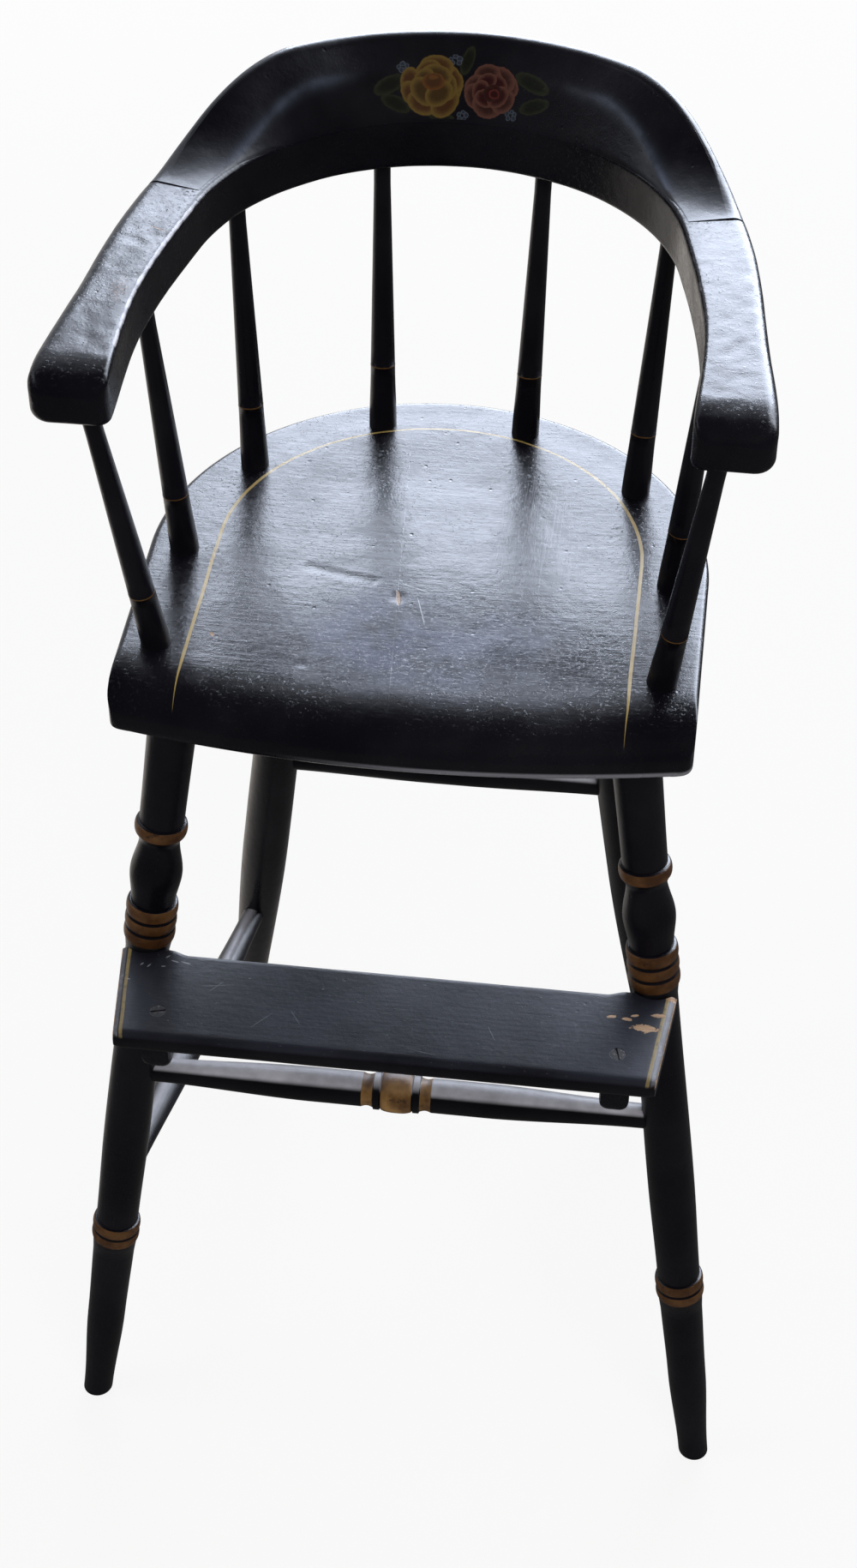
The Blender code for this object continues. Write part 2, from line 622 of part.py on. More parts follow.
def make_stretcher(name, ends, middle, sides, material):
    """A rod between two legs; ends lists (leg object, point on its axis, its radius there)."""
    (leg_a, point_a, r_a), (leg_b, point_b, r_b) = ends
    start = along(point_a, point_b, r_a - STRETCHER_DEPTH)
    end = along(point_b, point_a, r_b - STRETCHER_DEPTH)
    length = (end - start).length
    profile = [(0.0, STRETCHER_END_R), (STRETCHER_DEPTH, STRETCHER_END_R)]
    profile += middle(length)
    profile += [(length - STRETCHER_DEPTH, STRETCHER_END_R), (length, STRETCHER_END_R)]
    rod = turn(name, start, end, profile, sides, material)
    drill(leg_a, along(start, end, -GAP), along(start, end, STRETCHER_DEPTH + r_a), STRETCHER_END_R + GAP)
    drill(leg_b, along(end, start, -GAP), along(end, start, STRETCHER_DEPTH + r_b), STRETCHER_END_R + GAP)
    return rod


def plain_middle(radius):
    def stations(length):
        mean = 0.5 * (STRETCHER_END_R + radius)
        return [(0.22 * length, mean + 0.2 * (radius - mean)), (0.4 * length, radius), (0.6 * length, radius),
                (0.78 * length, mean + 0.2 * (radius - mean))]
    return stations


def turned_middle(length):
    """The front stretcher's middle: a barrel, then on each side a ring, a hollow and the plain shaft."""
    half = 0.5 * length
    groove_r = FRONT_RING_R - GROOVE
    ring_in = FRONT_BULB_HALF + RING_STEP
    ring_out = ring_in + FRONT_RING_W
    cove_out = ring_out + FRONT_COVE_W
    side = [(0.45 * FRONT_BULB_HALF, FRONT_BULB_R - 0.25 * GROOVE),
            (0.8 * FRONT_BULB_HALF, FRONT_BULB_R - GROOVE), (FRONT_BULB_HALF, groove_r),
            (ring_in + RING_STEP, FRONT_RING_R), (ring_out - RING_STEP, FRONT_RING_R)]
    for share in (0.0, 0.15, 0.35, 0.5, 0.65, 0.85, 1.0):
        hollow = math.sin(math.pi * share)
        side.append((ring_out + FRONT_COVE_W * share, groove_r + (FRONT_COVE_R - groove_r) * hollow))
    side += [(cove_out + RING_STEP, FRONT_STRETCHER_R), (cove_out + 0.25 * half, FRONT_STRETCHER_R),
             (cove_out + 0.55 * half, 0.5 * (FRONT_STRETCHER_R + STRETCHER_END_R))]
    left = [(half - offset, radius) for offset, radius in side[::-1]]
    return left + [(half, FRONT_BULB_R)] + [(half + offset, radius) for offset, radius in side]


def footrest_back_y():
    profile = front_leg_profile()
    leg = leg_point(FRONT_FOOT, FRONT_TOP, FOOTREST_Z)
    return leg.y - radius_at(profile, FOOTREST_Z) + FOOTREST_NOTCH


def footrest_half():
    return leg_point(FRONT_FOOT, FRONT_TOP, FOOTREST_Z).x + FOOTREST_END


def footrest_section(back):
    """The board's section in (y, z), with its back edge at the given y and a rounded nose."""
    front = footrest_back_y() - FOOTREST_DEPTH
    low = FOOTREST_Z - FOOTREST_THICK
    r = min(FOOTREST_NOSE_R, 0.48 * FOOTREST_THICK)
    edge = 0.15 * r
    section = [(back, low + edge), (back, FOOTREST_Z - edge), (back - edge, FOOTREST_Z)]
    for degrees in (0, 22, 45, 68, 90):
        a = math.radians(degrees)
        section.append((front + r - r * math.sin(a), FOOTREST_Z - r + r * math.cos(a)))
    for degrees in (0, 30, 60, 90):
        a = math.radians(degrees)
        section.append((front + r - r * math.cos(a), low + r - r * math.sin(a)))
    section.append((back - edge, low))
    return section


def make_footrest_board(material):
    back = footrest_back_y()
    middle_y = back - 0.5 * FOOTREST_DEPTH
    middle_z = FOOTREST_Z - 0.5 * FOOTREST_THICK
    half = footrest_half()
    edge = 0.15 * FOOTREST_NOSE_R
    leg_in = leg_point(FRONT_FOOT, FRONT_TOP, FOOTREST_Z).x - RING_R
    ear = leg_in - FOOTREST_EAR
    recess = back - FOOTREST_RECESS
    stations = ((half, back, edge), (half - edge, back, 0.0), (leg_in, back, 0.0), (ear, recess, 0.0))
    loops = []
    for side, row in ((-1.0, stations), (1.0, stations[::-1])):
        for reach, back_y, shrink in row:
            loop = []
            for y, z in footrest_section(back_y):
                taper = FOOTREST_TAPER * (back - y) / FOOTREST_DEPTH * reach / half
                py = y + math.copysign(shrink, middle_y - y)
                pz = z + math.copysign(shrink, middle_z - z)
                loop.append(Vector((side * (reach - taper), py, pz)))
            loops.append(loop)
    return loft("footrest_board", loops, material)


def block_middle():
    """Middle of the right-hand block where the leg meets it."""
    z = FOOTREST_Z - FOOTREST_THICK - GAP - 0.5 * BLOCK_H
    leg = leg_point(FRONT_FOOT, FRONT_TOP, z)
    x = leg.x - radius_at(front_leg_profile(), z) + BLOCK_LET - 0.5 * BLOCK_W
    return Vector((x, leg.y, z))


def make_block(name, side, material):
    middle = block_middle()
    top = middle.z + 0.5 * BLOCK_H
    low = middle.z - 0.5 * BLOCK_H
    front = footrest_back_y() - FOOTREST_DEPTH + BLOCK_SETBACK
    back = middle.y + BLOCK_TAIL
    left = middle.x - 0.5 * BLOCK_W
    right = middle.x + 0.5 * BLOCK_W
    corner = 0.3 * BLOCK_CHAMFER
    loops = []
    for y, foot in ((front, low + BLOCK_CHAMFER), (front + BLOCK_CHAMFER, low), (back, low)):
        section = [(left + corner, foot), (right - corner, foot), (right, foot + corner), (right, top),
                   (left, top), (left, foot + corner)]
        loops.append([mirror(Vector((x, y, z)), side) for x, z in section])
    return loft(name, loops, material)


def make_screw(name, head, tip, material):
    """A slotted flat-head wood screw: head is the middle of its flat face."""
    cone = SCREW_HEAD_R - SCREW_SHANK_R
    length = SCREW_LEN
    profile = ((0.0, SCREW_HEAD_R - 0.1 * cone), (0.1 * cone, SCREW_HEAD_R), (cone, SCREW_SHANK_R),
               (0.8 * length, SCREW_SHANK_R), (length, 0.3 * SCREW_SHANK_R))
    screw = turn(name, head, tip, profile, ROD_SIDES, material)
    half_w = 0.5 * SCREW_SLOT_W
    reach = SCREW_HEAD_R + CUT_OVER
    loop = [(-reach, -half_w), (reach, -half_w), (reach, half_w), (-reach, half_w)]
    levels = (-CUT_OVER, SCREW_SLOT_DEPTH)
    slot = loft("slot_" + name, [[Vector((x, y, z)) for x, y in loop] for z in levels], None)
    slot.location = head
    slot.rotation_mode = "QUATERNION"
    slot.rotation_quaternion = screw.rotation_quaternion
    cut(screw, hide_cutter(slot))
    return screw


def screw_hole(target, head, tip, sunk):
    """The screw's own hole in one piece; sunk adds the countersink for its head."""
    cone = SCREW_HEAD_R - SCREW_SHANK_R
    wide = SCREW_HEAD_R + GAP
    thin = SCREW_SHANK_R + GAP
    deep = SCREW_LEN + GAP
    if sunk:
        profile = ((-CUT_OVER, wide), (0.1 * cone + GAP, wide), (cone + GAP, thin), (deep, thin))
    else:
        profile = ((-CUT_OVER, thin), (deep, thin))
    name = "screw_hole_%s_%d" % (target.name, len(target.modifiers))
    cut(target, hide_cutter(turn(name, head, tip, profile, ROD_SIDES, None)))


def make_footrest(legs, black, steel):
    board = make_footrest_board(black)
    profile = front_leg_profile()
    middle = block_middle()
    low_z = middle.z - BLOCK_H
    high_z = FOOTREST_Z + FOOTREST_THICK
    head_y = footrest_back_y() - FOOTREST_DEPTH + SCREW_SETBACK
    for side, leg in legs.items():
        word = side_word(side)
        block = make_block("footrest_block_" + word, side, black)
        low = mirror(leg_point(FRONT_FOOT, FRONT_TOP, low_z), side)
        high = mirror(leg_point(FRONT_FOOT, FRONT_TOP, high_z), side)
        reach = RING_R
        board_r = widest(profile, FOOTREST_Z - FOOTREST_THICK - reach, FOOTREST_Z + reach)
        block_r = widest(profile, middle.z - 0.5 * BLOCK_H - reach, middle.z + 0.5 * BLOCK_H + reach)
        drill(board, low, high, board_r + GAP, LEG_SIDES)
        drill(block, low, high, block_r + GAP, LEG_SIDES)
        head = Vector((side * middle.x, head_y, FOOTREST_Z))
        make_screw("footrest_screw_" + word, head, head - UP, steel)
        screw_hole(board, head, head - UP, True)
        screw_hole(block, head, head - UP, False)
        inner = mirror(middle - Vector((0.5 * BLOCK_W, 0.0, 0.0)), side)
        aim = inner + Vector((side, 0.0, 0.0))
        make_screw("block_screw_" + word, inner, aim, steel)
        screw_hole(block, inner, aim, True)
        screw_hole(leg, inner, aim, False)


def make_underframe(seat, black, steel):
    floor = make_floor_cutter()
    front = front_leg_profile()
    rear = rear_leg_profile()
    front_legs = {}
    rear_legs = {}
    for side in (-1, 1):
        word = side_word(side)
        front_legs[side] = make_leg("leg_front_" + word, FRONT_FOOT, FRONT_TOP, front, side, seat, floor,
                                    black)
        rear_legs[side] = make_leg("leg_rear_" + word, REAR_FOOT, REAR_TOP, rear, side, seat, floor, black)

    def front_end(side, z):
        return (front_legs[side], mirror(leg_point(FRONT_FOOT, FRONT_TOP, z), side), radius_at(front, z))

    def rear_end(side, z):
        return (rear_legs[side], mirror(leg_point(REAR_FOOT, REAR_TOP, z), side), radius_at(rear, z))

    ends = (front_end(-1, FRONT_STRETCHER_Z), front_end(1, FRONT_STRETCHER_Z))
    make_stretcher("stretcher_front", ends, turned_middle, LEG_SIDES, black)
    ends = (rear_end(-1, REAR_STRETCHER_Z), rear_end(1, REAR_STRETCHER_Z))
    make_stretcher("stretcher_rear", ends, plain_middle(REAR_STRETCHER_R), ROD_SIDES, black)
    for side in (-1, 1):
        ends = (front_end(side, SIDE_STRETCHER_FRONT_Z), rear_end(side, SIDE_STRETCHER_REAR_Z))
        make_stretcher("stretcher_" + side_word(side), ends, plain_middle(SIDE_STRETCHER_R), ROD_SIDES, black)
    make_footrest(front_legs, black, steel)


def main():
    clear_scene()
    black = paint("black_paint", (0.010, 0.009, 0.012), 0.32)
    wood = paint("bare_wood", (0.45, 0.30, 0.17), 0.6)
    steel = paint("screw_steel", (0.16, 0.15, 0.15), 0.45, 0.9)
    seat = make_seat(black)
    arms = {-1: make_arm("arm_left", -1, black), 1: make_arm("arm_right", 1, black)}
    crest = make_crest(black)
    make_dowels(crest, arms, wood)
    make_spindles(seat, arms, black)
    make_underframe(seat, black, steel)


main()
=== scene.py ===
# %% [markdown]
# # A child's black high chair
# The chair is an old wooden one: a saddled seat, a round arm bow on eight spindles, a raised crest, four
# splayed legs and a footrest. It is painted black, with ochre rings, thin yellow lines and a small spray of
# flowers. The measured model comes first, because every piece below takes its place from it.

# %% Load the measured model
import math
import random

import bmesh
import bpy
from mathutils import Euler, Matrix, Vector, noise


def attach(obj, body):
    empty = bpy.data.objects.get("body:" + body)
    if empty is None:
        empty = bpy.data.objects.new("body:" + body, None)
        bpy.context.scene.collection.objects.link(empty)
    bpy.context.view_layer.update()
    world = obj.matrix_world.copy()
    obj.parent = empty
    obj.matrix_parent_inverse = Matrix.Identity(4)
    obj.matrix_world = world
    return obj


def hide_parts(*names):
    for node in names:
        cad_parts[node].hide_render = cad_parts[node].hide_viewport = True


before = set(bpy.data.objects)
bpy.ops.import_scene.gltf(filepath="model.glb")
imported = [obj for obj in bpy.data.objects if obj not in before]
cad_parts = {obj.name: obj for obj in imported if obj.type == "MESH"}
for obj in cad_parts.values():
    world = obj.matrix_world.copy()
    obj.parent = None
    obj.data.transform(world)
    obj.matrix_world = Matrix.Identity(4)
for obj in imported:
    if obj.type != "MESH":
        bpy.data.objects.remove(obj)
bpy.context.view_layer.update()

# %% [markdown]
# ## Shader sums
# A finish is a small sum over the surface: some noise here, a painted line there. Adding nodes by hand
# hides that sum, so this class wraps one socket and lets Python's own signs add the Math nodes. Every other
# node comes from its one method, which sets the node's settings first and then the values or links of its
# sockets. The same class wires the Geometry Nodes trees further down.


# %% A socket that can be used in sums
ANY_HEIGHT = 1000.0


class Wire:
    """One socket of a node tree, or only the tree while there is no socket yet."""

    def __init__(self, tree, socket=None):
        self.tree = tree
        self.socket = socket

    def node(self, kind, sockets=(), out=0, **settings):
        """A new node by its type, or by the short name of a shader node."""
        made = self.tree.nodes.new(kind if "Node" in kind else "ShaderNode" + kind)
        for name, value in settings.items():
            setattr(made, name, value)
        for key, value in dict(sockets).items():
            self.feed(made.inputs[key], value)
        return Wire(self.tree, made.outputs[out])

    def feed(self, target, value):
        if isinstance(value, Wire):
            self.tree.links.new(value.socket, target)
        else:
            target.default_value = value

    def sum_of(self, operation, first, second=0.0):
        return self.node("Math", {0: first, 1: second}, operation=operation)

    def __add__(self, other):
        return self.sum_of("ADD", self, other)

    def __sub__(self, other):
        return self.sum_of("SUBTRACT", self, other)

    def __rsub__(self, other):
        return self.sum_of("SUBTRACT", other, self)

    def __mul__(self, other):
        return self.sum_of("MULTIPLY", self, other)

    __radd__ = __add__
    __rmul__ = __mul__

    def size(self):
        return self.sum_of("ABSOLUTE", self)

    def larger(self, other):
        return self.sum_of("MAXIMUM", self, other)

    def smaller(self, other):
        return self.sum_of("MINIMUM", self, other)

    def step(self, low, high):
        """A soft step: 0 at low, 1 at high."""
        sockets = {"Value": self, "From Min": low, "From Max": high}
        return self.node("MapRange", sockets, interpolation_type="SMOOTHSTEP")

    def within(self, low, full, fading, gone):
        """A soft band: it rises from low to full and falls again from fading to gone."""
        return self.step(low, full) * (1.0 - self.step(fading, gone))

    def mix(self, first, second):
        """Two colours mixed by this value."""
        return self.node("Mix", {0: self, 6: first, 7: second}, out=2, data_type="RGBA")

    def part(self, letter):
        """One direction of a vector: X, Y or Z."""
        return self.node("SeparateXYZ", {0: self}, out=letter)

    def length(self):
        return self.node("VectorMath", {0: self}, out="Value", operation="LENGTH")

    def stretch(self, factors):
        return self.node("VectorMath", {0: self, 1: factors}, operation="MULTIPLY")

    def cloud(self, scale, detail=2.0, roughness=0.5, warp=0.0):
        """Soft noise on this vector."""
        sockets = {"Vector": self, "Scale": scale, "Detail": detail, "Roughness": roughness,
                   "Distortion": warp}
        return self.node("TexNoise", sockets)

    def mark(self, name, out="Fac"):
        """A value that a piece's maker wrote on its points."""
        return self.node("Attribute", out=out, attribute_name=name)

    def spot(self, centre, half, turn=0.0):
        """Distance from a spot's middle on this vector: 1 lies on the ellipse with these half sizes."""
        sockets = {"Vector": self, "Location": (*centre, 0.0), "Scale": (*half, ANY_HEIGHT),
                   "Rotation": (0.0, 0.0, math.radians(turn))}
        return self.node("Mapping", sockets, vector_type="TEXTURE").length()


print("shader sums ready")

# %% [markdown]
# ## Camera, floor and light
# The chair was seen from above its front, a little to one side, and the camera's place was found by fitting
# the measured model to that view. Most of the light comes from behind: a black gloss shows its shape only
# by what it mirrors, so one wide soft window behind the chair draws the seat and the arms, and a weak lamp
# in front opens up the colours of the painted rings.

# %% The camera
EYE = (0.14507, -1.19202, 1.54725)
EYE_TURN = (47.5958, -0.1858, 6.9876)
LENS_MM, SENSOR_MM = 57.6, 36.0


def add_object(name, data):
    """A new object in the scene."""
    made = bpy.data.objects.new(name, data)
    bpy.context.scene.collection.objects.link(made)
    return made


camera_data = bpy.data.cameras.new("front_view")
camera_data.lens = LENS_MM
camera_data.sensor_width = SENSOR_MM
camera = add_object("front_view", camera_data)
camera.location = EYE
camera.rotation_euler = Euler([math.radians(a) for a in EYE_TURN])
bpy.context.scene.camera = camera
bpy.context.scene.view_settings.view_transform = "Standard"
print("camera looks down", round(90.0 - EYE_TURN[0], 1), "degrees")


# %% Lamps
def soft_lamp(name, place, aim, size, watts, colour, mirrored):
    """A lamp that looks at a point: a mirrored one only shows in gloss, the others only light paint."""
    data = bpy.data.lights.new(name, "AREA")
    data.shape = "RECTANGLE"
    data.size, data.size_y = size
    data.energy = watts
    data.color = colour
    lamp = add_object(name, data)
    lamp.location = place
    lamp.rotation_euler = (Vector(aim) - Vector(place)).to_track_quat("-Z", "Y").to_euler()
    lamp.visible_glossy = mirrored
    lamp.visible_diffuse = not mirrored


SEAT_MIDDLE = (0.0, 0.0, 0.62)
COOL, PALE_COOL = (0.76, 0.84, 1.0), (0.92, 0.95, 1.0)
WARM, PALE_WARM = (1.0, 0.97, 0.93), (1.0, 0.98, 0.96)
soft_lamp("back_window", (0.35, 1.9, 1.50), SEAT_MIDDLE, (2.1, 1.5), 185.0, COOL, mirrored=True)
soft_lamp("back_soft", (0.2, 1.7, 2.2), SEAT_MIDDLE, (1.8, 1.8), 34.0, PALE_COOL, mirrored=False)
soft_lamp("front_fill", (0.9, -2.0, 2.3), SEAT_MIDDLE, (1.6, 1.6), 30.0, WARM, mirrored=False)
soft_lamp("side_fill", (-2.2, -0.4, 1.6), SEAT_MIDDLE, (1.4, 1.4), 14.0, PALE_WARM, mirrored=False)
print("lamps:", len(bpy.data.lights))

# %% [markdown]
# The world has three levels. The camera sees plain white, dull paint gets a low even light, and gloss
# mirrors a room: dim in front, brighter behind, with a ceiling, two pale side walls and one strong window
# on the right. The floor does the same, so it stays white to the camera and dark in the gloss.

# %% The room that the gloss mirrors
WHITE, SKY_BLUE, WARM_GREY = (1.0, 1.0, 1.0, 1.0), (0.84, 0.90, 1.0, 1.0), (1.0, 0.94, 0.88, 1.0)
ROOM_DIM, BACK_WALL, CEILING, SIDE_WALLS = 0.05, 0.95, 1.05, 3.5
WINDOW, WINDOW_FAR, EVEN_LIGHT = 15.0, 5.0, 0.30


def ray(pen, kind):
    """1 on rays of one kind."""
    return pen.node("LightPath", out="Is %s Ray" % kind)


def seen_straight(pen):
    return ray(pen, "Camera").larger(ray(pen, "Transmission"))


world = bpy.data.worlds.new("studio")
world.use_nodes = True
bpy.context.scene.world = world
pen = Wire(world.node_tree)
mirrored = ray(pen, "Glossy")
heading = pen.node("TexCoord", out="Generated")
across, depth, up = (heading.part(letter) for letter in "XYZ")
above = up.within(0.35, 0.75, 0.78, 0.90) * depth.step(0.0, 0.45)
tilted = up - 0.15 * across
sides = across.size().step(0.6, 0.8) * tilted.within(0.44, 0.54, 0.60, 0.70)
sides = sides * (1.0 - depth.size().step(0.2, 0.45))
right = across.step(0.30, 0.50) * depth.within(0.20, 0.40, 0.78, 0.88) * up.within(0.10, 0.30, 0.68, 0.80)
right = right * (WINDOW - (WINDOW - WINDOW_FAR) * depth.step(0.58, 0.68))
room = ROOM_DIM + BACK_WALL * depth.step(0.1, 0.9) + CEILING * above + SIDE_WALLS * sides + right
level = seen_straight(pen).larger(mirrored * room).larger((1.0 - mirrored) * EVEN_LIGHT)
background = world.node_tree.nodes["Background"]
pen.feed(background.inputs["Strength"], level)
pen.feed(background.inputs["Color"], mirrored.mix(WHITE, SKY_BLUE))
print("world with", len(world.node_tree.nodes), "nodes")

# %% The pale floor
FLOOR_HALF, FLOOR_UNDER, FLOOR_WHITE = 8.0, 0.0004, 0.86
FLOOR_FADE_NEAR, FLOOR_FADE_FAR = 0.9, 3.0
floor_mesh = bpy.data.meshes.new("floor")
corners = [(x * FLOOR_HALF, y * FLOOR_HALF, 0.0) for x, y in ((-1, -1), (1, -1), (1, 1), (-1, 1))]
floor_mesh.from_pydata(corners, [], [(0, 1, 2, 3)])
floor = add_object("floor", floor_mesh)
floor.location = (0.0, 0.0, -FLOOR_UNDER)
floor_finish = bpy.data.materials.new("pale_floor")
floor_finish.use_nodes = True
tree = floor_finish.node_tree
tree.nodes.clear()
pen = Wire(tree)
matt = pen.node("BsdfDiffuse", {"Color": (0.80, 0.80, 0.80, 1.0)})
white = pen.node("Emission", {"Color": WHITE, "Strength": 1.0})
bright = pen.node("Emission", {"Color": WARM_GREY, "Strength": 0.9})
dim = pen.node("Emission", {"Color": WHITE, "Strength": 0.10})
spot = pen.node("TexCoord", out="Object")
back, left = spot.part("Y").step(-0.2, 0.35), 1.0 - spot.part("X").step(-0.35, 0.05)
gloss = pen.node("MixShader", {0: back * left, 1: dim, 2: bright})
far = spot.length().step(FLOOR_FADE_NEAR, FLOOR_FADE_FAR)
whiten = seen_straight(pen) * (FLOOR_WHITE + (1.0 - FLOOR_WHITE) * far)
shown = pen.node("MixShader", {0: whiten, 1: matt, 2: white})
shown = pen.node("MixShader", {0: ray(pen, "Glossy"), 1: shown, 2: gloss})
pen.feed(tree.nodes.new("ShaderNodeOutputMaterial").inputs["Surface"], shown)
floor_mesh.materials.append(floor_finish)
print("floor", 2.0 * FLOOR_HALF, "m wide")

# %% [markdown]
# ## Black paint
# The whole chair wears one coat of black gloss that is decades old. Near by it isn't one colour: it has
# brush strokes, small lumps, rubbed and dull places, pale specks, scratches, and edges where the bare wood
# shows. One function makes that paint, and each piece adds its own painted lines, chips and scratches as
# layers; some pieces also get painted highlights and painted sheen as layers. Wear follows an attribute
# called edge, which the piece's maker writes along its corners.

# %% Colours of the paint and of what shows under it
BLACK_DEEP = (0.0030, 0.0026, 0.0046, 1.0)
BLACK_RUBBED = (0.0074, 0.0068, 0.0098, 1.0)
DUST = (0.26, 0.27, 0.31, 1.0)
WOOD_PALE = (0.58, 0.41, 0.28, 1.0)
WOOD_DARK = (0.36, 0.22, 0.13, 1.0)
OCHRE_DEEP = (0.046, 0.018, 0.006, 1.0)
OCHRE_LIGHT = (0.110, 0.050, 0.016, 1.0)
BULB_DEEP = (0.075, 0.032, 0.009, 1.0)
BULB_LIGHT = (0.310, 0.170, 0.055, 1.0)
RING_DEEP = (0.060, 0.028, 0.007, 1.0)
RING_LIGHT = (0.120, 0.062, 0.016, 1.0)
LINE_YELLOW = (0.36, 0.26, 0.085, 1.0)
# pale grey for painted highlights and sheen: stretcher tops, the arms' inner edges, the seat's low front edge
# and the footrest's ends
SHEEN_GREY = (0.58, 0.58, 0.65, 1.0)
BUMP_DEPTH, BUMP_STRENGTH = 0.0006, 0.55
PAINT_SHINE, WOOD_ROUGH, ROUGHEST = 0.28, 0.62, 0.9
print("bump depth", BUMP_DEPTH * 1000.0, "mm")


# %% The paint
def new_finish(name):
    finish = bpy.data.materials.new(name)
    finish.use_nodes = True
    return finish, Wire(finish.node_tree), finish.node_tree.nodes["Principled BSDF"]


def wood_colour(place):
    grain = place.stretch((40.0, 420.0, 420.0)).cloud(1.0, 3.0, 0.6)
    return grain.step(0.3, 0.7).mix(WOOD_DARK, WOOD_PALE)


def bumps(height, depth, strength):
    """Turn a height into a normal."""
    sockets = {"Height": height, "Distance": depth, "Strength": strength}
    return height.node("Bump", sockets, out="Normal")


def pits(place, scale, share):
    """Small round pits: one in some of the cells of a cell pattern."""
    cells = {"Vector": place, "Scale": scale, "Randomness": 1.0}
    far = place.node("TexVoronoi", cells, out="Distance")
    pick = place.node("TexVoronoi", cells, out="Color")
    chosen = place.node("SeparateColor", {"Color": pick}, out="Red").step(1.0 - share, 1.0 - 0.2 * share)
    return chosen * (1.0 - far.step(0.05, 0.34)) * place.cloud(9.0, 2.0).step(0.30, 0.60)


def black_paint(name, strokes, layers, chips=None, wear=0.5, specks=0.3, pitted=0.05, dull=0.0, grit=0.0,
                shine=PAINT_SHINE):
    """Old black gloss: strokes stretches the brush marks, layers lie on the paint and chips go through it."""
    finish, pen, shader = new_finish(name)
    place = pen.node("TexCoord", out="Object")
    tone = place.cloud(11.0, 3.0, 0.6)
    wear_and_sheen = place.cloud(46.0, 4.0, 0.65)
    brush = place.stretch(strokes).cloud(1.0, 3.0, 0.6)
    lumps = place.cloud(170.0, 2.0, 0.5)
    peel = place.cloud(950.0, 1.0, 0.5)
    colour = tone.step(0.35, 0.75).mix(BLACK_DEEP, BLACK_RUBBED)
    rough = 0.20 + dull + 0.16 * tone + 0.12 * wear_and_sheen.step(0.4, 0.8)
    height = 0.34 * brush + 0.45 * lumps + 0.14 * peel
    height = height - 0.55 * pits(place, 230.0, pitted) - 0.35 * pits(place, 640.0, 2.0 * pitted)
    if grit:
        grains = place.cloud(480.0, 3.0, 0.75).step(0.56, 0.76)
        height = height + grit * grains * (0.3 + 0.6 * place.cloud(21.0, 2.0).step(0.3, 0.7))
    painted = 0.0
    for mask, tint in layers(place):
        colour = mask.mix(colour, tint)
        painted = mask.larger(painted)
    rough = rough + 0.10 * painted
    dust = place.cloud(1500.0, 2.0, 0.7).step(0.70, 0.78) * place.cloud(24.0, 2.0).step(0.45, 0.7)
    colour = (dust * specks).mix(colour, DUST)
    rough = rough + 0.25 * dust
    start = 1.32 - 0.25 * wear
    rubbing = place.mark("edge") * 0.62 + place.cloud(120.0, 4.0, 0.7) * 0.75 + wear_and_sheen * 0.25
    worn = rubbing.step(start, start + 0.06)
    for chip in (chips(place) if chips else ()):
        worn = worn.larger(chip)
    colour = worn.mix(colour, wood_colour(place))
    rough = rough * (1.0 - worn) + WOOD_ROUGH * worn
    height = height - 0.9 * worn
    pen.feed(shader.inputs["Base Color"], colour)
    pen.feed(shader.inputs["Specular IOR Level"], shine)
    pen.feed(shader.inputs["Roughness"], rough.smaller(ROUGHEST))
    pen.feed(shader.inputs["Normal"], bumps(height, BUMP_DEPTH, BUMP_STRENGTH))
    return finish


print("black paint ready")

# %% [markdown]
# ## Turned pieces
# Legs, spindles and stretchers came off a lathe, so each is one line with a radius at each point. Python
# lists the radii as a turner reads them off a pattern stick, and one Geometry Nodes tree sweeps a circle
# along the line. The same tree makes all sixteen, and it carries along an attribute called band that says
# where ochre paint goes.

# %% The lathe as a node tree
FACETS, TURNED_SHARP = 64, math.radians(50.0)


def node_tree(name, result, inputs):
    """A tree with named inputs and one output; gives the tree and a wire for each input."""
    tree = bpy.data.node_groups.new(name, "GeometryNodeTree")
    for label, kind in inputs:
        tree.interface.new_socket(label, in_out="INPUT", socket_type="NodeSocket" + kind)
    tree.interface.new_socket(result, in_out="OUTPUT", socket_type="NodeSocketGeometry")
    given = tree.nodes.new("NodeGroupInput")
    return tree, [Wire(tree, given.outputs[label]) for label, kind in inputs]


def end_tree(tree, shape, finish):
    """Make copies real, set the finish and send the shape out of the tree."""
    real = shape.node("GeometryNodeRealizeInstances", {"Geometry": shape})
    painted = shape.node("GeometryNodeSetMaterial", {"Geometry": real, "Material": finish})
    shape.feed(tree.nodes.new("NodeGroupOutput").inputs[0], painted)
    return tree


def lathe_tree():
    inputs = (("Line", "Geometry"), ("Facets", "Int"), ("Finish", "Material"))
    tree, (line, facets, finish) = node_tree("lathe", "Piece", inputs)
    path = line.node("GeometryNodeMeshToCurve", {"Mesh": line})
    girth = line.node("GeometryNodeInputNamedAttribute", {"Name": "girth"}, out="Attribute")
    circle = line.node("GeometryNodeCurvePrimitiveCircle", {"Resolution": facets, "Radius": 1.0})
    sweep = {"Curve": path, "Profile Curve": circle, "Scale": girth, "Fill Caps": True}
    swept = line.node("GeometryNodeCurveToMesh", sweep)
    return end_tree(tree, line.node("GeometryNodeSetShadeSmooth", {"Geometry": swept}), finish)


LATHE = lathe_tree()
print("lathe tree with", len(LATHE.nodes), "nodes")


# %% Helpers that every piece uses
SIDES = ((-1, "left"), (1, "right"))


def store(mesh, name, values):
    """Write one value on each point of a mesh."""
    mesh.attributes.new(name, "FLOAT", "POINT").data.foreach_set("value", values)


def store_vectors(mesh, name, vectors):
    flat = [value for vector in vectors for value in vector]
    mesh.attributes.new(name, "FLOAT_VECTOR", "POINT").data.foreach_set("vector", flat)


def plain_mesh(thing):
    """What an object's modifiers make of its mesh."""
    return bpy.data.meshes.new_from_object(thing.evaluated_get(bpy.context.evaluated_depsgraph_get()))


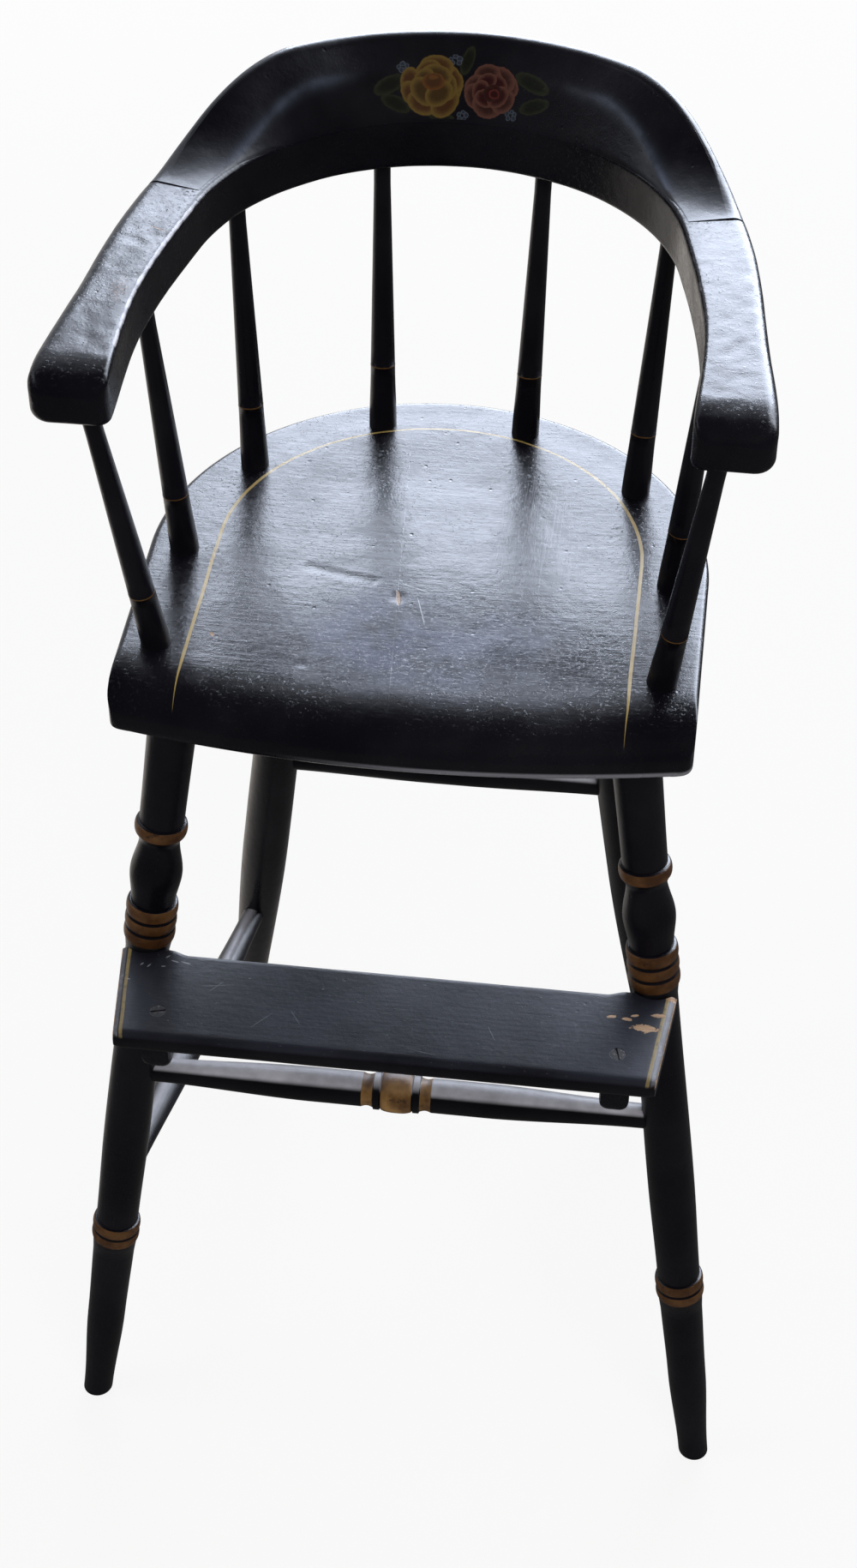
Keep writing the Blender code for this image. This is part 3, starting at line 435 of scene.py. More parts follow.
def run_nodes(name, mesh, tree, **inputs):
    """Run a node tree on a mesh and give the result back as a plain object."""
    guide = add_object(name + "_guide", mesh)
    modifier = guide.modifiers.new("nodes", "NODES")
    modifier.node_group = tree
    sockets = {item.name: item.identifier for item in tree.interface.items_tree}
    for key, value in inputs.items():
        modifier[sockets[key]] = value
    made = plain_mesh(guide)
    bpy.data.objects.remove(guide)
    made.name = name
    return add_object(name, made)


def settle(piece, slot, *nodes):
    """The piece stands for these measured pieces and rides with the chair."""
    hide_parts(*nodes)
    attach(piece, "root")
    return piece


def turned(name, start, end, stations, finish):
    """A lathe piece; stations are (distance from start, radius, band)."""
    axis = (end - start).normalized()
    mesh = bpy.data.meshes.new(name + "_line")
    points = [start + axis * distance for distance, radius, band in stations]
    mesh.from_pydata(points, [(i, i + 1) for i in range(len(points) - 1)], [])
    store(mesh, "girth", [radius for distance, radius, band in stations])
    store(mesh, "band", [band for distance, radius, band in stations])
    piece = run_nodes(name, mesh, LATHE, Facets=FACETS, Finish=finish)
    piece.data.set_sharp_from_angle(angle=TURNED_SHARP)
    return piece


def smooth_step(value):
    value = min(1.0, max(0.0, value))
    return value * value * (3.0 - 2.0 * value)


def blend(first, last, share):
    return first + (last - first) * share


def ease(first, last, count):
    """Stations between two (distance, radius) pairs on a soft S-curve, without the last one."""
    shares = [i / count for i in range(count)]
    return [(blend(first[0], last[0], t), blend(first[1], last[1], smooth_step(t)), 0.0) for t in shares]


print("helpers ready")

# %% [markdown]
# ## The chair's sizes
# These are the sizes of the measured model, repeated here so that the finer pieces land on the same places.

# %% Sizes in metres
SEAT_TOP_Z, SEAT_THICK = 0.625, 0.032
SEAT_UNDER_Z = SEAT_TOP_Z - SEAT_THICK
SEAT_BACK_R, SEAT_BACK_Y = 0.170, 0.0110
SEAT_FRONT_HALF, SEAT_SIDE_LEN = 0.1685, 0.143
SEAT_CORNER_Y = SEAT_BACK_Y - SEAT_SIDE_LEN
SEAT_FRONT_BOW, SEAT_CORNER_R = 0.017, 0.010
SEAT_DISH, SEAT_ROLL_DEPTH, SEAT_FRONT_EDGE = 0.002, 0.042, 0.007
SEAT_EDGE_R, SEAT_FOOT_CHAMFER = 0.004, 0.003
ARM_UNDER_Z, ARM_THICK = SEAT_TOP_Z + 0.172, 0.033
ARM_TOP_Z = ARM_UNDER_Z + ARM_THICK
BOW_R, BOW_CENTRE_Y, BOW_TURN = SEAT_BACK_R - 0.0105, SEAT_BACK_Y + 0.023, math.radians(78.0)
BOW_BACK_W, ARM_WAIST_W, HAND_W = 0.039, 0.035, 0.0445
HAND_HALF_SPAN, HAND_FRONT_Y = SEAT_FRONT_HALF + 0.005, SEAT_CORNER_Y + 0.005
HAND_NOSE_R, ARM_INNER_R, ARM_OUTER_R = 0.011, 0.004, 0.008
HAND_ROLL, HAND_ROLL_DROP = 0.026, 0.008
CREST_HEIGHT, CREST_TOP_W, CREST_ROUND, CREST_INSET = 0.0405, 0.012, 0.0058, 0.0006
CREST_TURN, CREST_FULL_TURN, CREST_END_THICK = math.radians(75.0), math.radians(34.0), 0.0005
FOLD_OUT, FOLD_UP, FOLD_LEAST = 0.005, 0.62, 0.08
FOLD_TOP_TURN, FOLD_END_TURN, FOLD_SHARP, HIGHLIGHT_SHARP = math.radians(33.0), math.radians(68.0), 7.0, 12.0
GAP = 0.0003
RING_R, GROOVE = 0.0162, 0.0012
print("seat rim at", SEAT_TOP_Z, "arms at", ARM_TOP_Z)


# %% Lines that the arms and spindles follow
def bow_point(angle):
    """Middle line of the round back, from the very back toward the right."""
    return Vector((BOW_R * math.sin(angle), BOW_CENTRE_Y + BOW_R * math.cos(angle), 0.0))


def arm_point(t):
    """Middle line of the straight arm: 0 at the round back, 1 at the hand's nose."""
    start = bow_point(BOW_TURN)
    end = Vector((HAND_HALF_SPAN, HAND_FRONT_Y, 0.0))
    reach = (end - start).length
    leave = Vector((math.cos(BOW_TURN), -math.sin(BOW_TURN), 0.0)) * reach
    arrive = Vector((0.0, -1.0, 0.0)) * reach
    return ((2 * t ** 3 - 3 * t ** 2 + 1) * start + (t ** 3 - 2 * t ** 2 + t) * leave
            + (3 * t ** 2 - 2 * t ** 3) * end + (t ** 3 - t ** 2) * arrive)


def arm_point_at(y):
    low, high = 0.0, 1.0
    for _ in range(40):
        middle = 0.5 * (low + high)
        low, high = (middle, high) if arm_point(middle).y > y else (low, middle)
    return arm_point(low)


def mirror(point, side):
    return Vector((point[0] * side, point[1], point[2]))


print("hand's nose at y", round(arm_point(1.0).y, 4))

# %% [markdown]
# ## Ochre rings
# On the legs and the front stretcher the turned rings are picked out in ochre, and each spindle has one
# thin ring line. The band attribute is 1 on those rings; a little noise on its edge makes the line look
# brushed by hand, and a second noise lets the black show through where feet and hands have rubbed.


# %% Paint for turned pieces
UPRIGHT_STROKES, LEVEL_STROKES = (160.0, 160.0, 22.0), (60.0, 160.0, 160.0)


def ring_layers(place, deep=OCHRE_DEEP, light=OCHRE_LIGHT):
    mask = (place.mark("band") + 0.25 * place.cloud(260.0, 3.0, 0.6)).step(0.52, 0.66)
    rub_and_sheen = place.cloud(95.0, 4.0, 0.7).step(0.60, 0.70)
    tint = place.cloud(60.0, 3.0, 0.6).step(0.3, 0.7).mix(deep, light)
    yield mask * (1.0 - 0.75 * rub_and_sheen), tint


def spindle_layers(place):
    return ring_layers(place, RING_DEEP, RING_LIGHT)


def stretcher_layers(place):
    """A painted highlight: the upper side of the stretchers is lightened unevenly to a pale dull grey, though
    not on the ochre bands.
    """
    yield from ring_layers(place, BULB_DEEP, BULB_LIGHT)
    uneven = 0.6 + 0.4 * place.cloud(34.0, 4.0, 0.65).step(0.25, 0.75)
    # painted highlight on the upward-facing side
    yield place.mark("top_sheen").step(0.60, 0.84) * uneven * (1.0 - 0.95 * place.mark("band")), SHEEN_GREY


TURNED_PAINT = black_paint("turned_black", UPRIGHT_STROKES, ring_layers, wear=0.2)
SPINDLE_PAINT = black_paint("spindle_black", UPRIGHT_STROKES, spindle_layers, wear=0.1)
STRETCHER_PAINT = black_paint("stretcher_black", LEVEL_STROKES, stretcher_layers, wear=0.2, dull=0.12)
print("ochre", OCHRE_LIGHT[:3])

# %% [markdown]
# ## Legs
# The front legs are the maker's show pieces: a double ring above the foot, a long swelling shaft, three
# rings, a small vase and one more ring under a plain head. The rear legs are plain. Each foot is sawn level
# with the floor.

# %% Leg patterns
LEG_TOP_R, LEG_HEAD_R, LEG_SHOULDER = 0.0138, 0.0146, 0.006
LEG_FOOT_R, LEG_ANKLE_R, LEG_SHAFT_R, LEG_NECK_R, REAR_LEG_R = 0.0102, 0.0142, 0.0152, 0.0138, 0.0168
VASE_R, VASE_NECK_R = 0.0162, 0.0124
TOP_RING_Z, TOP_RING_H, VASE_H, TRIPLE_H = SEAT_UNDER_Z - 0.084, 0.0085, 0.052, 0.029
FOOT_RING_Z, FOOT_RING_H, RING_STEPS = 0.154, 0.0175, 12
LEG_FOOT_H, CALF_SWELL = 0.002, 0.0008
BELOW_FLOOR, LEG_END = -0.006, SEAT_UNDER_Z + 0.5 * SEAT_THICK
FRONT_SPLAY, REAR_SPLAY = (0.0805, -0.075), (0.0795, 0.072)
FRONT_INSET, REAR_INSET, REAR_TURN = (0.034, 0.028), 0.043, math.radians(45.5)


def ring_rows(low, high, count):
    """Half-round rings between two heights: ochre on the crowns, black in the grooves between them."""
    rows = []
    height = (high - low) / count
    for i in range(count):
        first, last = (2 if i > 0 else 1), RING_STEPS - (2 if i < count - 1 else 1)
        for k in range(RING_STEPS + 1):
            s = k / RING_STEPS
            crown = math.sqrt(math.sin(math.pi * s)) if 0 < k < RING_STEPS else 0.0
            band = 1.0 if first <= k <= last else 0.0
            rows.append((low + (i + 0.01 + 0.98 * s) * height, RING_R - GROOVE * (1.0 - crown), band))
    return rows


def head_rows(start):
    """A leg's plain head, which narrows where it enters the seat."""
    neck = SEAT_UNDER_Z - 0.5 * LEG_SHOULDER
    shoulder = (neck - 0.5 * LEG_SHOULDER, LEG_HEAD_R)
    rows = ease(start, shoulder, 8) + ease(shoulder, (neck, LEG_TOP_R), 4)
    return rows + [(neck, LEG_TOP_R, 0.0), (LEG_END, LEG_TOP_R, 0.0)]


print("a triple ring has", len(ring_rows(0.0, TRIPLE_H, 3)), "stations")


# %% The whole legs
def front_leg_rows():
    foot_top = FOOT_RING_Z + FOOT_RING_H
    triple_top = TOP_RING_Z - TOP_RING_H - VASE_H
    triple_low = triple_top - TRIPLE_H
    calf = (0.5 * FOOT_RING_Z, 0.5 * (LEG_FOOT_R + LEG_ANKLE_R) + CALF_SWELL)
    belly = (foot_top + 0.33 * (triple_low - foot_top), LEG_SHAFT_R)
    vase = (triple_top + 0.42 * VASE_H, VASE_R)
    neck = (TOP_RING_Z - TOP_RING_H - 0.1 * VASE_H, VASE_NECK_R)
    rows = [(BELOW_FLOOR, LEG_FOOT_R, 0.0)]
    rows += ease((LEG_FOOT_H, LEG_FOOT_R), calf, 8) + ease(calf, (FOOT_RING_Z, LEG_ANKLE_R), 6)
    rows += ring_rows(FOOT_RING_Z, foot_top, 2)
    rows += ease((foot_top, LEG_ANKLE_R), belly, 12) + ease(belly, (triple_low, LEG_NECK_R), 18)
    rows += ring_rows(triple_low, triple_top, 3)
    rows += ease((triple_top, LEG_NECK_R), vase, 12) + ease(vase, neck, 14) + [(*neck, 0.0)]
    rows += ring_rows(TOP_RING_Z - TOP_RING_H, TOP_RING_Z, 1)
    return rows + head_rows((TOP_RING_Z + GAP, LEG_NECK_R))


def rear_leg_rows():
    belly = (0.42 * SEAT_UNDER_Z, REAR_LEG_R)
    rows = [(BELOW_FLOOR, LEG_FOOT_R, 0.0)] + ease((LEG_FOOT_H, LEG_FOOT_R), belly, 22)
    return rows + head_rows(belly)


def leg_line(top, splay):
    """Foot and top of a leg on the right-hand side."""
    return (top[0] + splay[0], top[1] + splay[1]), top


def leg_point(line, z):
    (foot_x, foot_y), (top_x, top_y) = line
    t = z / SEAT_UNDER_Z
    return Vector((blend(foot_x, top_x, t), blend(foot_y, top_y, t), z))


FRONT_LEG = leg_line((SEAT_FRONT_HALF - FRONT_INSET[0], SEAT_CORNER_Y + FRONT_INSET[1]), FRONT_SPLAY)
REAR_RING = SEAT_BACK_R - REAR_INSET
REAR_TOP = (REAR_RING * math.sin(REAR_TURN), SEAT_BACK_Y + REAR_RING * math.cos(REAR_TURN))
LEGS = {"front": (FRONT_LEG, front_leg_rows()), "rear": (leg_line(REAR_TOP, REAR_SPLAY), rear_leg_rows())}
print("front leg pattern has", len(LEGS["front"][1]), "stations")


# %% Turn the legs and saw the feet level
def saw_level(piece):
    bm = bmesh.new()
    bm.from_mesh(piece.data)
    whole = bm.verts[:] + bm.edges[:] + bm.faces[:]
    cut = bmesh.ops.bisect_plane(bm, geom=whole, plane_co=(0.0, 0.0, 0.0), plane_no=(0.0, 0.0, 1.0),
                                 clear_inner=True)
    rim = [e for e in cut["geom_cut"] if isinstance(e, bmesh.types.BMEdge)]
    for face in bmesh.ops.edgeloop_fill(bm, edges=rim)["faces"]:
        face.smooth = False
    bmesh.ops.recalc_face_normals(bm, faces=bm.faces)
    bm.to_mesh(piece.data)
    bm.free()
    piece.data.set_sharp_from_angle(angle=TURNED_SHARP)


def make_leg(kind, side, word):
    line, rows = LEGS[kind]
    low, high = (mirror(leg_point(line, z), side) for z in (BELOW_FLOOR, LEG_END))
    slope = (high - low).length / (LEG_END - BELOW_FLOOR)
    stations = [((z - BELOW_FLOOR) * slope, radius, band) for z, radius, band in rows]
    piece = turned("%s_%s_leg" % (kind, word), low, high, stations, TURNED_PAINT)
    saw_level(piece)
    settle(piece, "black_paint", "leg_%s_%s" % (kind, word))


for side, word in SIDES:
    make_leg("front", side, word)
    make_leg("rear", side, word)
print("four legs, feet", round(2 * FRONT_LEG[0][0], 3), "m apart in front")

# %% [markdown]
# ## Spindles
# Eight slim spindles hold up the arm bow. Each is thickest at its foot and tapers to the arm, with one ring
# line in ochre about a quarter of the way up. They follow the seat's edge below and the bow above.

# %% Eight spindles
SPINDLE_INSET, SPINDLE_ARM_IN = 0.022, 0.006
SPINDLE_FOOT_R, SPINDLE_BELLY_R, SPINDLE_TOP_R = 0.0088, 0.0078, 0.0052
SPINDLE_LINE_UP, SPINDLE_LINE_H, SPINDLE_LINE_OUT = 0.040, 0.0009, 0.0001
SPINDLE_SIDE = ((0.0455, 0.0205), (0.1365, 0.130))
SPINDLE_TURNS = (math.radians(54.6), math.radians(18.2))
SOCKET = 0.010


def spindle_places():
    """Foot and top of the right-hand spindles, from the front to the back."""
    for back, hand in SPINDLE_SIDE:
        x = SEAT_FRONT_HALF + (SEAT_BACK_R - SEAT_FRONT_HALF) * back / SEAT_SIDE_LEN - SPINDLE_INSET
        top = arm_point_at(HAND_FRONT_Y + hand)
        foot = Vector((x, SEAT_CORNER_Y + back, SEAT_TOP_Z))
        yield foot, Vector((top.x - SPINDLE_ARM_IN, top.y, ARM_UNDER_Z))
    ring = SEAT_BACK_R - SPINDLE_INSET
    for angle in SPINDLE_TURNS:
        top = bow_point(angle)
        foot = Vector((ring * math.sin(angle), SEAT_BACK_Y + ring * math.cos(angle), SEAT_TOP_Z))
        yield foot, Vector((top.x, top.y, ARM_UNDER_Z))


def spindle_rows(clear):
    line = SOCKET + SPINDLE_LINE_UP
    half = 0.5 * SPINDLE_LINE_H
    raised = SPINDLE_BELLY_R + SPINDLE_LINE_OUT
    rows = [(0.0, SPINDLE_FOOT_R, 0.0)]
    rows += ease((SOCKET, SPINDLE_FOOT_R), (line - half, SPINDLE_BELLY_R), 6)
    rows += [(line - half, SPINDLE_BELLY_R, 0.0), (line - 0.8 * half, raised, 1.0),
             (line + 0.8 * half, raised, 1.0), (line + half, SPINDLE_BELLY_R, 0.0)]
    for i in range(1, 13):
        along = line + half + (0.9 * clear - SPINDLE_LINE_UP) * (i / 12)
        rows.append((along, blend(SPINDLE_BELLY_R, SPINDLE_TOP_R, i / 12), 0.0))
    return rows + [(SOCKET + clear + SOCKET, SPINDLE_TOP_R, 0.0)]


for number, (foot, top) in enumerate(spindle_places(), start=1):
    for side, word in SIDES:
        low, high = mirror(foot, side), mirror(top, side)
        ends = (high - low).normalized() * SOCKET
        rows = spindle_rows((high - low).length)
        piece = turned("%s_spindle_%d" % (word, number), low - ends, high + ends, rows, SPINDLE_PAINT)
        settle(piece, "black_paint", "spindle_%s_%d" % (word, number))
print("spindle stations:", len(rows))

# %% [markdown]
# ## Stretchers
# The front stretcher has an ochre barrel between two black rings and two ochre hollows; the others swell
# plainly.

# %% Four stretchers
STRETCHER_SOCKET, STRETCHER_END_R = 0.006, 0.0080
FRONT_Z, FRONT_R, BARREL_R, BARREL_HALF = 0.308, 0.0112, 0.0135, 0.0105
COLLAR_R, COLLAR_W, COVE_R, COVE_W, STEP = 0.0124, 0.0042, 0.0102, 0.0077, 0.0004
SIDE_FRONT_Z, SIDE_REAR_Z, SIDE_R, REAR_Z, REAR_R = 0.204, 0.172, 0.0108, 0.345, 0.0095
# strength of the painted highlight on the side stretchers
SIDE_SHEEN = 0.74


def radius_at(rows, z):
    for (low, r_low, _), (high, r_high, _) in zip(rows, rows[1:]):
        if low <= z <= high:
            return r_low + (r_high - r_low) * (z - low) / max(1e-9, high - low)
    return rows[-1][1]


def plain_rows(length, radius):
    ends = ((STRETCHER_SOCKET, STRETCHER_END_R), (0.45 * length, radius))
    first = [(0.0, STRETCHER_END_R, 0.0)] + ease(*ends, 16)
    return first + [(length - d, r, b) for d, r, b in first[::-1]]


def front_rows(length):
    half = 0.5 * length
    collar_in = BARREL_HALF + STEP
    collar_out = collar_in + COLLAR_W
    cove_out = collar_out + COVE_W
    groove_r = COLLAR_R - GROOVE
    side = [(BARREL_HALF * (k / 10), BARREL_R - 1.4 * GROOVE * (k / 10) ** 3, 1.0) for k in range(1, 10)]
    side += [(BARREL_HALF, groove_r, 0.0), (collar_in, COLLAR_R, 0.0), (collar_out - STEP, COLLAR_R, 0.0)]
    for k in range(RING_STEPS + 1):
        s = k / RING_STEPS
        radius = groove_r + (COVE_R - COLLAR_R + GROOVE) * math.sin(math.pi * s)
        side.append((collar_out + COVE_W * s, radius, 1.0 if 0 < k < RING_STEPS else 0.0))
    side.append((cove_out + STEP, FRONT_R, 0.0))
    side += ease((cove_out + 0.2 * half, FRONT_R), (half - STRETCHER_SOCKET, STRETCHER_END_R), 14)
    side += [(half - STRETCHER_SOCKET, STRETCHER_END_R, 0.0), (half, STRETCHER_END_R, 0.0)]
    left, right = ([(half + sign * d, r, b) for d, r, b in side] for sign in (-1, 1))
    return left[::-1] + [(half, BARREL_R, 1.0)] + right


print("front stretcher pattern has", len(front_rows(2 * SEAT_FRONT_HALF)), "stations")


# %% Set the stretchers between the legs
def leg_at(kind, side, z):
    """Middle of a leg at a height, and the leg's radius there."""
    line, rows = LEGS[kind]
    return mirror(leg_point(line, z), side), radius_at(rows, z)


def make_stretcher(word, a, r_a, b, r_b, pattern, rub_and_sheen=1.0):
    axis = (b - a).normalized()
    start = a + axis * (r_a - STRETCHER_SOCKET)
    end = b - axis * (r_b - STRETCHER_SOCKET)
    piece = turned(word + "_stretcher", start, end, pattern((end - start).length), STRETCHER_PAINT)
    # how far each point faces up, scaled by the strength of the painted highlight
    store(piece.data, "top_sheen", [rub_and_sheen * vertex.normal.z for vertex in piece.data.vertices])
    settle(piece, "black_paint", "stretcher_" + word)


make_stretcher("front", *leg_at("front", -1, FRONT_Z), *leg_at("front", 1, FRONT_Z), front_rows)
make_stretcher("rear", *leg_at("rear", -1, REAR_Z), *leg_at("rear", 1, REAR_Z),
               lambda length: plain_rows(length, REAR_R))
for side, word in SIDES:
    make_stretcher(word, *leg_at("front", side, SIDE_FRONT_Z), *leg_at("rear", side, SIDE_REAR_Z),
                   lambda length: plain_rows(length, SIDE_R), SIDE_SHEEN)
print("four stretchers")

# %% [markdown]
# ## Skinned pieces
# The seat, arms, crest and footrest were sawn and shaped by hand. Each is a row of closed outlines with a
# skin over them. Small lumps and dents go into the mesh itself, always inward, so the piece stays inside
# its measured size.


# %% A skin over closed outlines
SAWN_SHARP = math.radians(48.0)


def skin(name, rings, finish, painting=None):
    """Close a row of equal rings into one body; a ring lists its points, each with its edge wear."""
    bm = bmesh.new()
    rows = [[bm.verts.new(point) for point, edge in ring] for ring in rings]
    count = len(rows[0])
    for low, high in zip(rows, rows[1:]):
        for i in range(count):
            j = (i + 1) % count
            bm.faces.new((low[i], low[j], high[j], high[i]))
    for row in (rows[0], rows[-1]):
        middle = bm.verts.new(sum((v.co for v in row), Vector()) / count)
        for i in range(count):
            bm.faces.new((row[i], row[(i + 1) % count], middle))
    bmesh.ops.recalc_face_normals(bm, faces=bm.faces)
    mesh = bpy.data.meshes.new(name)
    bm.to_mesh(mesh)
    bm.free()
    mesh.shade_smooth()
    mesh.set_sharp_from_angle(angle=SAWN_SHARP)
    store(mesh, "edge", [edge for ring in rings for point, edge in ring] + [0.0, 0.0])
    if painting:
        store_vectors(mesh, "painting", painting + [(0.0, 0.0, 0.0)] * 2)
    mesh.materials.append(finish)
    return add_object(name, mesh)


def hollow(point, dents):
    """How deep the dents are at a point."""
    deep = 0.0
    for centre, radius, depth in dents:
        share = (point - centre).length / radius
        if share < 1.0:
            deep = max(deep, depth * (1.0 - share * share) ** 2)
    return deep


def lumps(point, *sorts):
    """How deep the uneven surface lies at a point, for each sort of lump a scale and a depth."""
    return sum(depth * (0.5 + 0.5 * noise.noise(point * scale)) for scale, depth in sorts)


print("skin ready")

# %% [markdown]
# ## Seat
# One plank, round at the back, hollowed in the middle and rolled over in front. A fine yellow line runs
# round the hollow. Years of use have left a small raw chip near the middle with a dark smudge in front of
# it, a faint crack line from back to front, two pale scratches, drag marks on one side and a scuffed patch
# in front. On that patch a painted bluish sheen and pale painted glints stand for light, and a painted grey
# reflection lightens the low front edge.


# %% Where the marks on the seat are
SEAT_LINE_R, SEAT_LINE_Y, SEAT_LINE_W, SEAT_LINE_END = 0.1290, 0.0205, 0.0020, -0.139
SEAT_STROKES = (38.0, 420.0, 200.0)
# pale for real scratches and painted glints; bluish for painted sheen
SEAT_SCRATCH_AND_GLINT, SEAT_SHEEN_BLUE = (0.48, 0.52, 0.60, 1.0), (0.060, 0.070, 0.122, 1.0)
SEAT_CRACK, CRACK_W = ((-0.0267, 0.1480), (-0.0053, -0.1300)), 0.0003
SEAT_SCRATCHES = (((-0.0137, -0.0115), (0.0070, -0.0198)), ((-0.0018, -0.0234), (0.0062, -0.0510)))
SCRATCH_W = 0.0004
SEAT_SCUFF_AND_SHEEN = ((0.004, -0.066), (0.128, 0.066), -4.0)
SEAT_SMUDGE = ((-0.0118, -0.0530), (0.0062, 0.0230), 2.0)
SEAT_DRAG = ((0.064, 0.046), (0.036, 0.080), 0.0)
MIDDLE_CHIP = ((-0.0128, -0.0262), (0.0018, 0.0090), 10.0)
SIDE_CHIP = ((-0.1162, -0.0746), (0.0012, 0.0022), 30.0)
print("seat line", SEAT_LINE_W * 1000.0, "mm wide")


# %% Paint for the seat
def streak(place, start, end, width):
    """A scratch between two points."""
    middle = (0.5 * (start[0] + end[0]), 0.5 * (start[1] + end[1]))
    half = 0.5 * math.hypot(end[0] - start[0], end[1] - start[1])
    turn = math.degrees(math.atan2(end[1] - start[1], end[0] - start[0]))
    return 1.0 - (place.spot(middle, (half, width), turn) + 0.5 * place.cloud(900.0, 2.0)).step(1.0, 1.3)


def seat_layers(place):
    x, y, z = (place.part(letter) for letter in "XYZ")
    behind = (y - SEAT_LINE_Y).larger(0.0)
    reach = place.node("CombineXYZ", {0: x, 1: behind}).length()
    wander = (place.cloud(30.0, 2.0) - 0.5) * 0.0012
    off = (reach + wander - SEAT_LINE_R).size()
    taper = (y - SEAT_LINE_END).step(0.0, 0.05) * (1.0 - 0.3 * behind.step(0.05, 0.13))
    line = 1.0 - (off - 0.5 * SEAT_LINE_W * taper).step(-0.0002, 0.0002)
    rub_and_sheen = place.cloud(140.0, 4.0, 0.7).step(0.60, 0.72)
    line = line * taper.step(0.02, 0.06) * (1.0 - 0.6 * rub_and_sheen)
    # the front patch: real scratches, with painted bluish sheen and painted glints on it
    scuff_and_sheen = 1.0 - (place.spot(*SEAT_SCUFF_AND_SHEEN) + 0.9 * place.cloud(19.0, 3.0, 0.6)).step(0.65, 1.45)
    glint_specks = place.stretch((320.0, 760.0, 300.0)).cloud(1.0, 4.0, 0.75).step(0.55, 0.64)
    scratches = place.stretch((900.0, 60.0, 60.0)).cloud(1.0, 2.0, 0.5, 0.4).step(0.74, 0.78)
    patchy_glints = scuff_and_sheen * (0.35 + 0.65 * place.cloud(38.0, 3.0).step(0.38, 0.60))
    glints_and_scratches = (patchy_glints * glint_specks * 0.6).larger(scuff_and_sheen * scratches * 0.45)
    yield line * z.step(SEAT_UNDER_Z, SEAT_UNDER_Z + 0.004), LINE_YELLOW
    # painted sheen: the front patch is tinted bluish
    yield 0.8 * scuff_and_sheen * place.cloud(42.0, 4.0, 0.65).step(0.2, 0.7), SEAT_SHEEN_BLUE
    # pale painted glints in the front patch, together with its real scratches
    yield glints_and_scratches, SEAT_SCRATCH_AND_GLINT
    broken = place.cloud(55.0, 3.0).step(0.38, 0.56)
    yield 0.28 * streak(place, *SEAT_CRACK, CRACK_W) * broken, SEAT_SCRATCH_AND_GLINT
    for start, end in SEAT_SCRATCHES:
        yield 0.7 * streak(place, start, end, SCRATCH_W), SEAT_SCRATCH_AND_GLINT
    smudge = place.spot(*SEAT_SMUDGE) + 0.7 * place.cloud(210.0, 3.0, 0.6)
    yield 0.6 * (1.0 - smudge.step(0.55, 1.40)), BLACK_DEEP
    dragged = 1.0 - place.spot(*SEAT_DRAG).step(0.3, 1.0)
    lines = place.stretch((900.0, 14.0, 60.0)).cloud(1.0, 3.0, 0.6)
    yield 0.55 * dragged * (1.0 - lines.step(0.36, 0.50)), BLACK_RUBBED
    yield 0.10 * dragged * lines.step(0.54, 0.66), SEAT_SCRATCH_AND_GLINT
    # painted reflection: the low front edge of the seat is lightened to grey, more towards the right side
    low = 1.0 - z.step(SEAT_UNDER_Z + 0.0045, SEAT_UNDER_Z + 0.0065)
    front = 1.0 - y.step(SEAT_CORNER_Y, SEAT_CORNER_Y + 0.02)
    yield 0.3 * low * x.step(-0.08, 0.04) * front, SHEEN_GREY


def seat_chips(place):
    ragged = 0.55 * place.cloud(420.0, 3.0, 0.7)
    yield 0.6 - 0.6 * (place.spot(*MIDDLE_CHIP) + 1.8 * ragged).step(1.15, 1.35)
    yield 1.0 - (place.spot(*SIDE_CHIP) + ragged).step(1.05, 1.2)


SEAT_PAINT = black_paint("seat_black", SEAT_STROKES, seat_layers, seat_chips, wear=0.25, specks=0.4,
                         pitted=0.06, dull=-0.055, grit=0.55, shine=0.26)
print("seat paint with", len(SEAT_PAINT.node_tree.nodes), "nodes")


# %% Shape the seat
def seat_front_y(x):
    return SEAT_CORNER_Y - SEAT_FRONT_BOW * (1.0 - (x / SEAT_FRONT_HALF) ** 2)


def seat_outline():
    """Points round the seat, from the back middle by the right side to the front and back again."""
    half = []
    for i in range(90):
        a = 0.5 * math.pi * i / 90
        half.append((SEAT_BACK_R * math.sin(a), SEAT_BACK_Y + SEAT_BACK_R * math.cos(a)))
    corner_top = SEAT_CORNER_Y + SEAT_CORNER_R
    for i in range(30):
        t = i / 30
        half.append((blend(SEAT_BACK_R, SEAT_FRONT_HALF, t), blend(SEAT_BACK_Y, corner_top, t)))
    turn_x = SEAT_FRONT_HALF - SEAT_CORNER_R
    turn_y = seat_front_y(turn_x)
    for i in range(12):
        t = i / 12
        x = (1 - t) ** 2 * SEAT_FRONT_HALF + 2 * t * (1 - t) * SEAT_FRONT_HALF + t * t * turn_x
        y = (1 - t) ** 2 * corner_top + 2 * t * (1 - t) * turn_y + t * t * turn_y
        half.append((x, y))
    for i in range(61):
        x = turn_x * (1.0 - i / 60)
        half.append((x, seat_front_y(x)))
    return half + [(-x, y) for x, y in half[1:-1]][::-1]


SEAT_DENTS = [(Vector((-0.0135, -0.026, SEAT_TOP_Z - SEAT_DISH)), 0.007, 0.0005),
              (Vector((-0.060, -0.094, SEAT_TOP_Z - SEAT_DISH)), 0.005, 0.0003)]
CREASE_START, CREASE_END = Vector((-0.070, -0.003, 0.622)), Vector((-0.030, -0.012, 0.622))
CREASE_R, CREASE_DEPTH = 0.0062, 0.00035
for step in range(11):
    SEAT_DENTS.append((CREASE_START.lerp(CREASE_END, step / 10), CREASE_R, CREASE_DEPTH))
SEAT_LUMPS, LUMPS_FROM_EDGE = ((17.0, 0.0005), (60.0, 0.00018)), 0.02
SEAT_INSETS = [0.0, 0.0003, 0.0008, 0.0015, 0.0024, 0.0033, 0.0042]
SEAT_INSETS += [SEAT_INSETS[-1] + 0.0021 * k for k in range(1, 78)]


